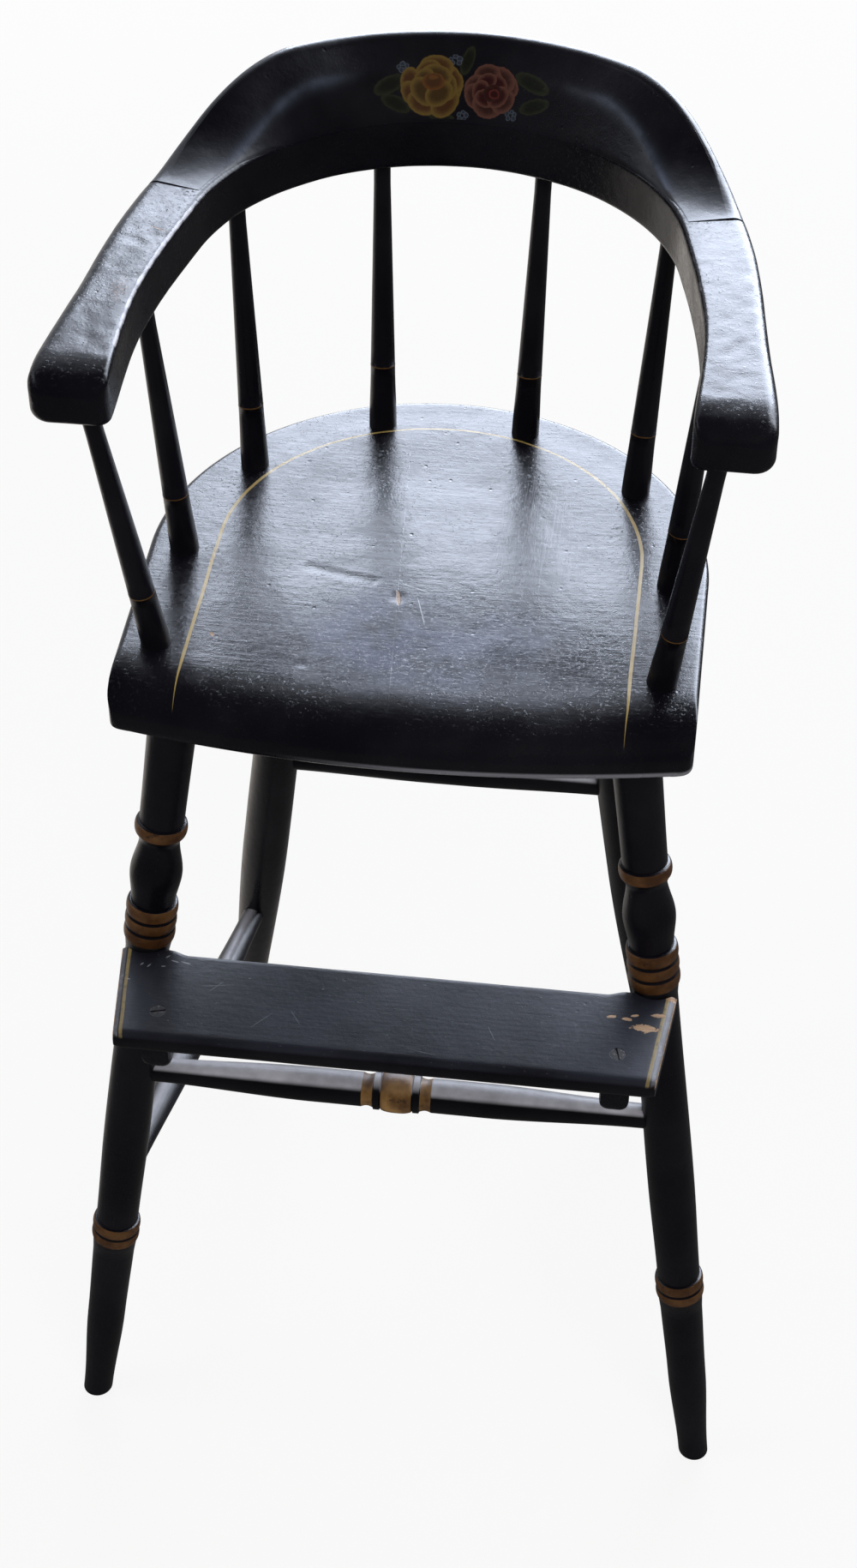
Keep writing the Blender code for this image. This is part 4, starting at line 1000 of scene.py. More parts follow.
def seat_height(x, y, edge):
    side = SEAT_BACK_R - math.hypot(x, max(0.0, y - SEAT_BACK_Y))
    sunk = SEAT_DISH * smooth_step((side - SPINDLE_INSET) / (3.0 * SPINDLE_INSET))
    behind = max(0.0, y - seat_front_y(x))
    lift = max(0.0, 1.0 - behind / SEAT_ROLL_DEPTH)
    roll = (SEAT_THICK - SEAT_FRONT_EDGE - sunk) * (1.0 - math.sqrt(max(0.0, 1.0 - lift ** 2.4)))
    near = max(0.0, SEAT_EDGE_R - edge)
    rounding = SEAT_EDGE_R - math.sqrt(max(0.0, SEAT_EDGE_R ** 2 - near ** 2))
    z = SEAT_TOP_Z - sunk - max(roll, rounding)
    point = Vector((x, y, z))
    worn = smooth_step(edge / LUMPS_FROM_EDGE)
    return z - worn * lumps(point, *SEAT_LUMPS) - hollow(point, SEAT_DENTS)


print("seat outline has", len(seat_outline()), "points")


# %% Make the seat
def make_seat():
    outline = seat_outline()
    under = 1.0 - SEAT_FOOT_CHAMFER / SEAT_BACK_R
    rings = []
    for share, up in ((0.35, 0.0), (0.7, 0.0), (under, 0.0), (1.0, SEAT_FOOT_CHAMFER)):
        wear = 0.9 if share == 1.0 else 0.0
        ring = [Vector((x * share, blend(SEAT_BACK_Y, y, share), SEAT_UNDER_Z + up)) for x, y in outline]
        rings.append([(point, wear) for point in ring])
    for inset in SEAT_INSETS:
        share = 1.0 - inset / SEAT_BACK_R
        ring = []
        for x, y in outline:
            px, py = x * share, blend(SEAT_BACK_Y, y, share)
            edge = (1.0 - share) * math.hypot(x, y - SEAT_BACK_Y)
            wear = max(0.0, 1.0 - edge / SEAT_EDGE_R) * 0.8
            ring.append((Vector((px, py, seat_height(px, py, edge))), wear))
        rings.append(ring)
    return settle(skin("painted_seat", rings, SEAT_PAINT), "black_paint", "seat")


SEAT = make_seat()
print("seat has", len(SEAT.data.polygons), "faces")

# %% [markdown]
# ## Arm bow
# The bow is sawn from two boards that meet behind the sitter's back. Each half is a rounded bar that runs
# round the back, narrows to a waist and widens into a hand rest with a square nose. Rings, knocks and bites
# have dented the hand rests, so seeded dents are pressed into their tops.

# %% Paint for the arms
# where the painted highlight on the arms' inner top edge fades in and out, and its strength on each side
EDGE_SHEEN_SIDES, EDGE_SHEEN_END, EDGE_SHEEN_FADE, EDGE_SHEEN_BACK = {-1: 1.0, 1: 0.72}, 0.022, 0.016, 0.030
ARM_SCRATCH = ((-0.1597, 0.0298), (-0.1487, 0.0237))
ARM_SCRAPE = ((-0.1626, -0.0385), (0.0065, 0.0190), 2.0)
EVEN_STROKES = (120.0, 120.0, 120.0)


def arm_layers(place):
    """A painted highlight lightens the inner top edge of the arms to a pale grey, more on the left arm than
    the right.
    """
    uneven = place.cloud(70.0, 4.0, 0.65)
    rub_and_sheen = (place.mark("edge_sheen") + 0.5 * uneven).step(0.95, 1.22)
    yield 0.85 * rub_and_sheen * uneven.step(0.25, 0.6), SHEEN_GREY
    scrape = 1.0 - place.spot(*ARM_SCRAPE).step(0.2, 1.0)
    yield 0.32 * scrape * place.cloud(620.0, 3.0, 0.7).step(0.48, 0.58), WOOD_DARK


def arm_chips(place):
    yield 0.7 * streak(place, *ARM_SCRATCH, SCRATCH_W)


ARM_PAINT = black_paint("arm_black", EVEN_STROKES, arm_layers, arm_chips, wear=0.30, specks=0.35, pitted=0.06,
                        dull=-0.04, grit=0.7, shine=0.20)
print("arm paint with", len(ARM_PAINT.node_tree.nodes), "nodes")


# %% Shape the arms
ARM_LUMPS, ARM_DENTS = ((30.0, 0.0005), (110.0, 0.00015)), 60


def bar_section(half_w, low, high, r_in, r_out):
    """Points (outward, up, edge) round a bar with its own radii on the inner and outer edges."""
    r_in, r_out = (min(r, 0.95 * half_w, 0.48 * (high - low)) for r in (r_in, r_out))
    corners = ((-half_w + r_in, low + r_in, r_in, 180), (half_w - r_out, low + r_out, r_out, 270),
               (half_w - r_out, high - r_out, r_out, 0), (-half_w + r_in, high - r_in, r_in, 90))
    flats = (8, 6, 8, 6)
    points = []
    for k, (cu, cz, radius, first) in enumerate(corners):
        for step in range(8):
            a = math.radians(first + 90.0 * step / 7)
            edge = math.sin(math.pi * step / 7)
            points.append((cu + radius * math.cos(a), cz + radius * math.sin(a), edge))
        nu, nz, nr, nfirst = corners[(k + 1) % 4]
        a = math.radians(nfirst)
        goal = (nu + nr * math.cos(a), nz + nr * math.sin(a))
        here = points[-1]
        for step in range(1, flats[k]):
            t = step / flats[k]
            points.append((blend(here[0], goal[0], t), blend(here[1], goal[1], t), 0.0))
    return points


def arm_width(t):
    if t < 0.5:
        return blend(BOW_BACK_W, ARM_WAIST_W, smooth_step(2.0 * t))
    return blend(ARM_WAIST_W, HAND_W, smooth_step(2.0 * t - 1.0))


def hand_roll(left):
    """How far the top has rolled down at a distance behind the hand's nose."""
    return HAND_ROLL_DROP * (max(0.0, HAND_ROLL - left) / HAND_ROLL) ** 2


def arm_stations():
    """Centre, outward direction, half width and heights along one arm, for the right-hand side."""
    for i in range(61):
        a = BOW_TURN * i / 60
        yield bow_point(a), Vector((math.sin(a), math.cos(a), 0.0)), 0.5 * BOW_BACK_W, ARM_UNDER_Z, ARM_TOP_Z
    reach = (arm_point(1.0) - arm_point(0.0)).length
    nose = 1.0 - HAND_NOSE_R / reach
    stops = [nose * i / 50 for i in range(1, 51)]
    stops += [nose + (1.0 - nose) * math.sin(0.5 * math.pi * k / 12) for k in range(1, 13)]
    for t in stops:
        near = max(0.0, HAND_NOSE_R - (1.0 - t) * reach)
        drawn = HAND_NOSE_R - math.sqrt(max(0.0, HAND_NOSE_R ** 2 - near ** 2))
        step = (arm_point(min(1.0, t + 0.01)) - arm_point(t - 0.01)).normalized()
        yield (arm_point(t), Vector((-step.y, step.x, 0.0)), 0.5 * arm_width(t) - 0.8 * drawn,
               ARM_UNDER_Z + 0.5 * drawn, ARM_TOP_Z - 0.5 * drawn - hand_roll((1.0 - t) * reach))


print("arm stations:", len(list(arm_stations())))


# %% Dent and make the arms
def arm_dents(side):
    draw = random.Random(40 + side)
    dents = []
    for _ in range(ARM_DENTS):
        t = draw.uniform(0.2, 0.98)
        middle = arm_point(t)
        point = Vector((side * (middle.x + draw.uniform(-0.016, 0.016)), middle.y, ARM_TOP_Z))
        dents.append((point, draw.uniform(0.0018, 0.0060), draw.uniform(0.0002, 0.0006)))
    return dents


def make_arm(word, side):
    dents = arm_dents(side)
    rings, edge_sheen_values = [], []
    for centre, outward, half_w, low, high in arm_stations():
        middle = 0.5 * (low + high)
        core = mirror((centre.x, centre.y, middle), side)
        # strength of the painted highlight on this section's inner top edge
        edge_sheen_here = EDGE_SHEEN_SIDES[side] * smooth_step(((arm_point(1.0) - centre).length - EDGE_SHEEN_END) / EDGE_SHEEN_FADE)
        edge_sheen_here *= smooth_step((arm_point(0.0).y + EDGE_SHEEN_BACK - centre.y) / EDGE_SHEEN_BACK)
        ring = []
        for u, z, edge in bar_section(half_w, low, high, ARM_INNER_R, ARM_OUTER_R):
            point = mirror((centre.x + outward.x * u, centre.y + outward.y * u, z), side)
            point += (core - point).normalized() * (lumps(point, *ARM_LUMPS) + hollow(point, dents))
            if centre.x == 0.0:
                point.x = 0.0
            ring.append((point, edge))
            edge_sheen_values.append(edge_sheen_here * edge if u < 0.0 and z > middle else 0.0)
        rings.append(ring)
    piece = skin(word + "_arm_bow", rings, ARM_PAINT)
    store(piece.data, "edge_sheen", edge_sheen_values + [0.0, 0.0])
    return settle(piece, "black_paint", "arm_" + word)


for side, word in SIDES:
    ARM = make_arm(word, side)
print("each arm has", len(ARM.data.polygons), "faces")

# %% [markdown]
# ## Crest with a spray of flowers
# The crest is a raised rail that sits on the bow and feathers out over both arms. Its inner face leans back
# and carries a small painted spray: two roses, dark leaves and tiny filler flowers, a stock motif of
# country furniture. Each petal is an ellipse on a flat map of that face, lighter at its rim, laid over the
# one before it.

# %% The spray, petal by petal
YELLOW_DEEP, YELLOW_TIP = (0.036, 0.018, 0.003, 1.0), (0.100, 0.061, 0.010, 1.0)
AMBER_DEEP, AMBER_TIP = (0.043, 0.015, 0.003, 1.0), (0.092, 0.033, 0.005, 1.0)
CORAL_DEEP, CORAL_TIP = (0.025, 0.008, 0.006, 1.0), (0.080, 0.031, 0.022, 1.0)
WINE_DEEP, WINE_TIP = (0.022, 0.003, 0.003, 1.0), (0.085, 0.015, 0.012, 1.0)
LEAF_DEEP, LEAF_TIP = (0.006, 0.007, 0.004, 1.0), (0.015, 0.017, 0.008, 1.0)
SLATE_DEEP, SLATE_TIP = (0.016, 0.020, 0.030, 1.0), (0.048, 0.058, 0.077, 1.0)
RIDGE_HIGHLIGHT_BLUE = (0.125, 0.155, 0.225, 1.0)
CREST_STROKES, MM = (130.0, 130.0, 130.0), 0.001
HAND = random.Random(11)


def ring_of_petals(centre, reach, half, count, first, deep, tip):
    """Petals set round a flower's middle, each a little off, as a hand sets them."""
    rows = []
    for i in range(count):
        a = math.radians(first + 360.0 * i / count + HAND.uniform(-12.0, 12.0))
        far = reach * HAND.uniform(0.85, 1.12)
        grow = HAND.uniform(0.86, 1.15)
        place = (centre[0] + far * math.cos(a), centre[1] + 0.85 * far * math.sin(a))
        turn = math.degrees(a) + 90.0 + HAND.uniform(-14.0, 14.0)
        rows.append((place, (half[0] * grow, half[1] * grow), turn, deep, tip))
    return rows


def spray_petals():
    """Every stroke of the spray in millimetres, from the back to the front."""
    strokes = []
    for place, half, turn in (((-45, 22), (11, 5), 20), ((-42, 11), (10, 4.4), -25), ((41, 27), (12, 5), -18),
                              ((45, 14), (10, 4.4), 22), ((1, 36), (9, 3.6), 75), ((-14, 3), (9, 3.4), -12)):
        strokes.append((place, half, turn, LEAF_DEEP, LEAF_TIP))
    for middle in ((-6, 36), (31, 7), (-36, 32), (0, 4)):
        strokes += ring_of_petals(middle, 2.5, (1.6, 1.5), 5, 20, SLATE_DEEP, SLATE_TIP)
    coral, yellow = (16.0, 19.5), (-18.5, 20.5)
    strokes += ring_of_petals(coral, 10.0, (8.6, 7.0), 7, 12, CORAL_DEEP, CORAL_TIP)
    strokes += ring_of_petals(coral, 5.8, (7.2, 5.6), 5, 40, WINE_DEEP, CORAL_TIP)
    strokes += ring_of_petals((18.0, 18.0), 2.2, (4.6, 3.8), 3, 75, WINE_DEEP, CORAL_DEEP)
    strokes.append(((18.5, 17.5), (3.4, 3.0), 0, WINE_DEEP, WINE_TIP))
    strokes += ring_of_petals(yellow, 13.2, (9.4, 6.6), 8, -20, AMBER_DEEP, YELLOW_TIP)
    strokes += ring_of_petals(yellow, 6.6, (8.6, 6.4), 5, 8, YELLOW_DEEP, YELLOW_TIP)
    strokes.append(((-18.5, 23.0), (7.0, 5.2), 0, AMBER_DEEP, AMBER_TIP))
    strokes.append(((-18.5, 25.6), (4.0, 2.0), 0, AMBER_TIP, YELLOW_DEEP))
    return strokes


print("colours from", YELLOW_TIP[:3], "to", WINE_DEEP[:3])


# %% Paint for the crest
def spray_layers(place):
    flat = place.mark("painting", out="Vector")
    # a painted highlight in pale blue along the crest's ridge
    yield flat.part("Z") * (0.45 + 0.55 * place.cloud(60.0, 3.0, 0.6).step(0.3, 0.7)), RIDGE_HIGHLIGHT_BLUE
    shaky = flat.node("TexNoise", {"Vector": flat, "Scale": 420.0, "Detail": 2.0}, out="Color")
    wobble = flat.node("VectorMath", {0: shaky, 1: (0.5, 0.5, 0.5)}, operation="SUBTRACT")
    wobble = wobble.stretch((0.0014, 0.0014, 0.0))
    face = flat.node("VectorMath", {0: flat, 1: wobble}, operation="ADD")
    bristle = face.stretch((1500.0, 380.0, 1.0)).cloud(1.0, 2.0, 0.6)
    for centre, half, turn, deep, tip in spray_petals():
        far = face.spot([c * MM for c in centre], [h * MM for h in half], turn)
        tint = (far * far + 0.45 * (bristle - 0.5)).step(0.15, 0.95).mix(deep, tip)
        yield 1.0 - far.step(0.94, 1.03), tint


CREST_PAINT = black_paint("crest_black", CREST_STROKES, spray_layers, wear=0.3, specks=0.25, dull=0.05)
print("spray of", len(spray_petals()), "strokes")


# %% Shape the crest
CREST_TIP_IN, CREST_FOOT_DOWN, CREST_UNDER_GAP = 0.004, 0.0005, 0.0004
NOT_PAINTED, PAST_FACE = -1.0, 0.004
# where along the crest the painted ridge highlight rises and fades
HIGHLIGHT_FROM, HIGHLIGHT_FULL, HIGHLIGHT_END, HIGHLIGHT_FADE = 20.0, 16.0, 67.0, 10.0
CREST_LUMPS, CREST_CALM, CREST_STATIONS = ((28.0, 0.0005), (100.0, 0.00012)), 0.012, 180
FACE_R = BOW_R - 0.007


def crest_height(angle):
    share = max(0.0, abs(angle) - CREST_FULL_TURN) / (CREST_TURN - CREST_FULL_TURN)
    return blend(CREST_END_THICK, CREST_HEIGHT, max(0.0, 1.0 - share ** 2) ** 2)


def face_start(ridge, height):
    """Where the leaning face leaves the arm's rounded inner edge, and its slope there."""
    middle = (-0.5 * BOW_BACK_W + ARM_INNER_R, -ARM_INNER_R)
    slope = 0.5
    for _ in range(8):
        place = (middle[0] - ARM_INNER_R * math.sin(slope), middle[1] + ARM_INNER_R * math.cos(slope))
        slope = math.atan2(height - place[1], ridge - place[0])
    return place, slope


def crest_fold(angle):
    """Where the ridge lies on the inner face, as a share of the face, and how far it stands out."""
    risen = smooth_step((FOLD_END_TURN - abs(angle)) / (FOLD_END_TURN - FOLD_TOP_TURN))
    return max(FOLD_LEAST, FOLD_UP * risen), FOLD_OUT * risen * smooth_step(abs(angle) / FOLD_TOP_TURN)


def fold_share(t, ridge):
    """A soft peak that is 1 at the ridge and 0 at both ends of the face."""
    rise, fall = t / ridge, (1.0 - t) / (1.0 - ridge)
    return rise * fall / max(1e-9, rise ** FOLD_SHARP + fall ** FOLD_SHARP) ** (1.0 / FOLD_SHARP)


def ridge_highlight(angle, share):
    """How strong the painted highlight along the ridge is; the middle of the crest and its tips get none."""
    turn = math.degrees(abs(angle))
    middle, tip = smooth_step((turn - HIGHLIGHT_FROM) / HIGHLIGHT_FULL), smooth_step((HIGHLIGHT_END - turn) / HIGHLIGHT_FADE)
    return share ** HIGHLIGHT_SHARP * middle * tip


print("crest rises", CREST_HEIGHT, "m over the arms")


# %% The crest's section
def crest_section(angle):
    """Points (outward, up from the arm, edge, distance up the painted face, painted highlight) of the crest's
    section.
    """
    height = crest_height(angle)
    half = 0.5 * BOW_BACK_W - CREST_INSET
    full = height / CREST_HEIGHT
    r_out = blend(ARM_OUTER_R, CREST_ROUND, full)
    r_in = min(CREST_ROUND, 0.45 * height)
    ridge = half - CREST_TOP_W * (0.55 + 0.45 * full) + r_in - CREST_TIP_IN * (1.0 - full)
    (face_u, face_z), slope = face_start(ridge - r_in, height)
    foot = -ARM_OUTER_R - CREST_FOOT_DOWN
    plain = [(blend(face_u, half, k / 8), blend(face_z, foot, k / 8) - CREST_UNDER_GAP, 0.0)
             for k in range(9)]
    plain += [(half, foot + (height - r_out - foot) * k / 9, 0.0) for k in range(1, 9)]
    for k in range(9):
        a = math.radians(90.0 * k / 8)
        edge = 0.5 * math.sin(2.0 * a)
        plain.append((half - r_out + r_out * math.cos(a), height - r_out + r_out * math.sin(a), edge))
    top = []
    for k in range(9):
        a = math.radians(90.0) + slope * k / 8
        edge = 0.5 * math.sin(math.pi * k / 8)
        top.append((ridge + r_in * math.cos(a), height - r_in + r_in * math.sin(a), edge))
    run = math.hypot(top[-1][0] - face_u, top[-1][1] - face_z)
    along_u, along_z = (top[-1][0] - face_u) / run, (top[-1][1] - face_z) / run
    rows = [(*point, NOT_PAINTED, 0.0) for point in plain] + [(*point, run + PAST_FACE, 0.0) for point in top]
    fold, out = crest_fold(angle)
    for k in range(1, 32):
        t = 1.0 - k / 32
        share = fold_share(t, fold)
        u = face_u + along_u * run * t - along_z * out * share
        z = face_z + along_z * run * t + along_u * out * share
        rows.append((u, z, 0.0, run * t, ridge_highlight(angle, share)))
    return rows


print("crest section has", len(crest_section(0.0)), "points")


# %% Make the crest
def make_crest():
    rings, painting = [], []
    for i in range(CREST_STATIONS + 1):
        angle = CREST_TURN * (2.0 * i / CREST_STATIONS - 1.0)
        centre = bow_point(angle)
        core = centre + Vector((0.0, 0.0, ARM_TOP_Z + 0.4 * crest_height(angle)))
        outward = Vector((math.sin(angle), math.cos(angle), 0.0))
        ring = []
        for u, up, edge, face, wear_and_sheen in crest_section(angle):
            point = centre + outward * u
            point.z = ARM_TOP_Z + up
            calm = smooth_step(up / CREST_CALM)
            point += (core - point).normalized() * calm * lumps(point, *CREST_LUMPS)
            ring.append((point, edge))
            # the third value is the strength of the painted ridge highlight
            painting.append((angle * FACE_R, face, wear_and_sheen))
        rings.append(ring)
    return settle(skin("crest_rail", rings, CREST_PAINT, painting), "black_paint", "crest")


CREST = make_crest()
print("crest has", len(CREST.data.polygons), "faces")

# %% [markdown]
# ## Footrest
# A board with a rounded nose, notched round the front legs and screwed to two blocks. Shoes have been here:
# the paint is chipped to the wood at one end and nicked at the other, and a yellow line crosses each end.

# %% Sizes and marks of the footrest
FOOTREST_Z, FOOTREST_THICK, FOOTREST_DEPTH, FOOTREST_TAPER = 0.420, 0.015, 0.074, 0.0093
FOOTREST_NOSE_R, FOOTREST_NOTCH, FOOTREST_RECESS, FOOTREST_EAR = 0.0066, 0.002, 0.0035, 0.012
FOOTREST_PAST_LEG = 0.0145
LEG_AT_BOARD = leg_point(FRONT_LEG, FOOTREST_Z)
FOOTREST_HALF = LEG_AT_BOARD.x + FOOTREST_PAST_LEG
FOOTREST_BACK = LEG_AT_BOARD.y - LEG_NECK_R + FOOTREST_NOTCH
FOOTREST_FRONT = FOOTREST_BACK - FOOTREST_DEPTH
END_LINE_IN, END_LINE_W = 0.0050, 0.0020
# the bluish tint is painted sheen on the board's top
END_LINE, BOARD_SHEEN_BLUE = (0.24, 0.175, 0.060, 1.0), (0.080, 0.095, 0.145, 1.0)
BOARD_STROKES, NICK_W, BARE_RIM = (45.0, 380.0, 200.0), 0.0005, 0.0016
RING_MARK = ((0.103, -0.176), (0.0125, 0.0125), 0.0)
BOARD_SCRATCHES = (((-0.082, -0.196), (-0.070, -0.182)), ((-0.060, -0.178), (-0.052, -0.190)),
                   ((0.060, -0.176), (0.066, -0.188)), ((0.012, -0.200), (0.034, -0.204)),
                   ((-0.118, -0.166), (-0.096, -0.162)), ((-0.112, -0.170), (-0.104, -0.160)))
BOARD_NICKS = (((-0.1400, -0.1465), (-0.1345, -0.1480)), ((-0.1335, -0.1470), (-0.1270, -0.1485)),
               ((-0.1435, -0.1450), (-0.1410, -0.1425)), ((-0.1580, -0.1530), (-0.1562, -0.1505)),
               ((-0.1535, -0.1540), (-0.1515, -0.1512)), ((-0.1450, -0.1525), (-0.1420, -0.1520)),
               ((-0.1640, -0.1650), (-0.1615, -0.1655)))
BOARD_CHIPS = (((0.1548, -0.1668), (0.0096, 0.0036), -3.0), ((0.1625, -0.1554), (0.0050, 0.0018), 4.0),
               ((0.1341, -0.1595), (0.0036, 0.0014), 10.0), ((0.1432, -0.1605), (0.0034, 0.0015), -8.0),
               ((0.1480, -0.1570), (0.0028, 0.0012), 20.0), ((0.1690, -0.1405), (0.0050, 0.0026), 0.0))
print("footrest", round(2.0 * FOOTREST_HALF, 3), "m wide")


# %% Paint for the footrest
def past_end(place, inset):
    """How far a point lies beyond a line that runs along inside the board's slanted ends."""
    slant = FOOTREST_TAPER / FOOTREST_DEPTH * (FOOTREST_BACK - place.part("Y"))
    return place.part("X").size() - (FOOTREST_HALF - inset - slant)


def board_layers(place):
    past = past_end(place, END_LINE_IN)
    wander = (place.cloud(45.0, 2.0) - 0.5) * 0.0010
    line = 1.0 - ((past + wander).size() - 0.5 * END_LINE_W).step(-0.0002, 0.0003)
    rub_and_sheen = place.cloud(150.0, 4.0, 0.7).step(0.46, 0.72)
    above = place.part("Z").step(FOOTREST_Z - 0.004, FOOTREST_Z - 0.002)
    yield line * above * (1.0 - 0.55 * rub_and_sheen), END_LINE
    scuffs = place.stretch((240.0, 620.0, 200.0)).cloud(1.0, 4.0, 0.75).step(0.64, 0.74)
    yield 0.45 * scuffs * above, DUST
    for strength, width, marks in ((0.20, CRACK_W, BOARD_SCRATCHES), (0.75, NICK_W, BOARD_NICKS)):
        for start, end in marks:
            yield strength * above * streak(place, start, end, width), DUST
    # painted sheen: soft bluish patches on the top
    yield 0.15 * above * place.cloud(16.0, 3.0).step(0.25, 0.7), BOARD_SHEEN_BLUE
    yield 0.10 * above * place.spot(*RING_MARK).within(0.70, 0.92, 0.96, 1.15) * rub_and_sheen, DUST
    # painted sheen: the eased ends are lightened to pale grey
    bevel = (past - 0.5 * END_LINE_W).step(0.0006, 0.0014)
    yield 0.30 * bevel * above * (0.4 + 0.6 * rub_and_sheen), SHEEN_GREY


def board_chips(place):
    ragged = 1.3 * place.cloud(300.0, 4.0, 0.75)
    above = place.part("Z").step(FOOTREST_Z - 0.006, FOOTREST_Z - 0.003)
    yield 0.8 * above * (past_end(place, 0.0) + BARE_RIM - BARE_RIM * ragged).step(0.0, 0.0003)
    for chip in BOARD_CHIPS:
        yield above * (1.0 - (0.75 * place.spot(*chip) + ragged).step(1.22, 1.30))


BOARD_PAINT = black_paint("footrest_black", BOARD_STROKES, board_layers, board_chips, wear=0.55, specks=0.4,
                          pitted=0.04, dull=0.14)
print("board paint with", len(BOARD_PAINT.node_tree.nodes), "nodes")

# %% Shape the board
SCREW_HEAD_R, SCREW_SHANK_R, SCREW_SETBACK, HEAD_SUNK = 0.0048, 0.0021, 0.0225, 0.0002
BLOCK_W, BLOCK_H, BLOCK_LET = 0.018, 0.020, 0.001
BLOCK_TOP = FOOTREST_Z - FOOTREST_THICK - GAP
BLOCK_MID_Z = BLOCK_TOP - 0.5 * BLOCK_H
LEG_AT_BLOCK, LEG_R_AT_BLOCK = leg_at("front", 1, BLOCK_MID_Z)
BLOCK_X = LEG_AT_BLOCK.x - LEG_R_AT_BLOCK + BLOCK_LET - 0.5 * BLOCK_W
END_EASE, END_DROP, END_RISE, SMALL_R = 0.0055, 0.0026, 0.0012, 0.0009
SINK_OVER, SINK_FLARE, CUT_R, CUT_FACETS = 0.001, 0.0012, RING_R + GAP, 48
BOARD_LUMPS = (35.0, 0.0003)


def end_share(reach):
    """0 along the board, and up to 1 over the eased length at each end."""
    return max(0.0, 1.0 - (1.0 - abs(reach)) * FOOTREST_HALF / END_EASE)


def board_section(reach):
    """Points (y, z, edge) of the board's section at a share of its half length; the ends are eased off."""
    ear = (LEG_AT_BOARD.x - RING_R) / FOOTREST_HALF
    inner = (LEG_AT_BOARD.x - RING_R - FOOTREST_EAR) / FOOTREST_HALF
    back = FOOTREST_BACK - FOOTREST_RECESS * (1.0 - smooth_step((abs(reach) - inner) / (ear - inner)))
    eased = end_share(reach) ** 2
    high = FOOTREST_Z - END_DROP * eased
    low = FOOTREST_Z - FOOTREST_THICK + END_RISE * eased
    front = FOOTREST_FRONT + END_RISE * eased
    r = min(FOOTREST_NOSE_R, 0.47 * (high - low))
    rim, corner = back - SMALL_R, 0.3 * SMALL_R
    nose = [(r * math.sin(math.pi * k / 20), r * math.cos(math.pi * k / 20)) for k in range(11)]
    rows = [(back, low + SMALL_R + (high - low - 2 * SMALL_R) * k / 4, 0.35) for k in range(5)]
    rows += [(back - corner, high - corner, 1.0), (rim, high, 0.8)]
    rows += [(rim + (front + r - rim) * k / 28, high, 0.0) for k in range(1, 28)]
    rows += [(front + r - across, high - r + up, 0.25) for across, up in nose]
    rows += [(front + r - up, low + r - across, 0.15) for across, up in nose]
    rows += [(front + r + (rim - front - r) * k / 20, low, 0.0) for k in range(1, 20)]
    return rows + [(rim, low, 0.5), (back - corner, low + corner, 0.6)]


print("board section has", len(board_section(0.0)), "points")


# %% Cut and make the board
def rod_cutter(name, start, end, r_start, r_end):
    """A round rod or cone between two points, to cut with."""
    bm = bmesh.new()
    made = bmesh.ops.create_cone(bm, cap_ends=True, segments=CUT_FACETS, radius1=r_start, radius2=r_end,
                                 depth=(end - start).length)
    turn = (end - start).to_track_quat("Z", "Y").to_matrix().to_4x4()
    bmesh.ops.transform(bm, matrix=turn, verts=made["verts"])
    bmesh.ops.translate(bm, vec=0.5 * (start + end), verts=made["verts"])
    mesh = bpy.data.meshes.new(name)
    bm.to_mesh(mesh)
    bm.free()
    return add_object(name, mesh)


def leg_cutter(name, side, low, high):
    ends = [mirror(leg_point(FRONT_LEG, z), side) for z in (low, high)]
    return rod_cutter(name, *ends, CUT_R, CUT_R)


def carve(piece, cutters):
    """Cut with each cutter, keep the result as the piece's own mesh and drop the cutters."""
    for cutter in cutters:
        cut = piece.modifiers.new(cutter.name, "BOOLEAN")
        cut.operation, cut.solver, cut.object = "DIFFERENCE", "EXACT", cutter
    made = plain_mesh(piece)
    piece.modifiers.clear()
    piece.data = made
    for cutter in cutters:
        bpy.data.objects.remove(cutter)


def make_board():
    ends = [1.0 - END_EASE / FOOTREST_HALF * (1.0 - k / 8) for k in range(9)]
    inner = [ends[0] * k / 60 for k in range(-59, 60)]
    rings = []
    for reach in [-share for share in ends[::-1]] + inner + ends:
        ring = []
        for y, z, edge in board_section(reach):
            taper = FOOTREST_TAPER * (FOOTREST_BACK - y) / FOOTREST_DEPTH * reach
            point = Vector((FOOTREST_HALF * reach - taper, y, z))
            point -= Vector((0.0, 0.0, lumps(point, BOARD_LUMPS)))
            ring.append((point, max(edge, 0.9 * end_share(reach))))
        rings.append(ring)
    board = skin("footrest_step", rings, BOARD_PAINT)
    cutters = []
    reach, deep = 3 * FOOTREST_THICK, SCREW_HEAD_R - SCREW_SHANK_R + HEAD_SUNK
    for side, word in SIDES:
        cutters.append(leg_cutter("leg_cut_" + word, side, FOOTREST_Z - reach, FOOTREST_Z + reach))
        head = Vector((side * BLOCK_X, FOOTREST_FRONT + SCREW_SETBACK, FOOTREST_Z))
        low, high = head - Vector((0.0, 0.0, deep)), head + Vector((0.0, 0.0, SINK_OVER))
        cutters.append(rod_cutter("sink_" + word, low, high, SCREW_SHANK_R, SCREW_HEAD_R + SINK_FLARE))
    carve(board, cutters)
    return settle(board, "black_paint", "footrest_board")


BOARD = make_board()
print("footrest board has", len(BOARD.data.polygons), "faces")

# %% [markdown]
# ## Blocks and screws
# Under the board, two blocks with rounded lower corners reach forward from the legs. The slotted screws are
# all the same, so one node tree cuts the slot once and sets a copy on each point, turned by the attribute
# that it carries.


# %% The two blocks
BLOCK_SETBACK, BLOCK_NOSE, BLOCK_ROUND, BLOCK_NARROW = 0.006, 0.006, 0.0055, 0.0008
BLOCK_IN_LEG, BLOCK_CUT_BELOW = 0.001, 0.02


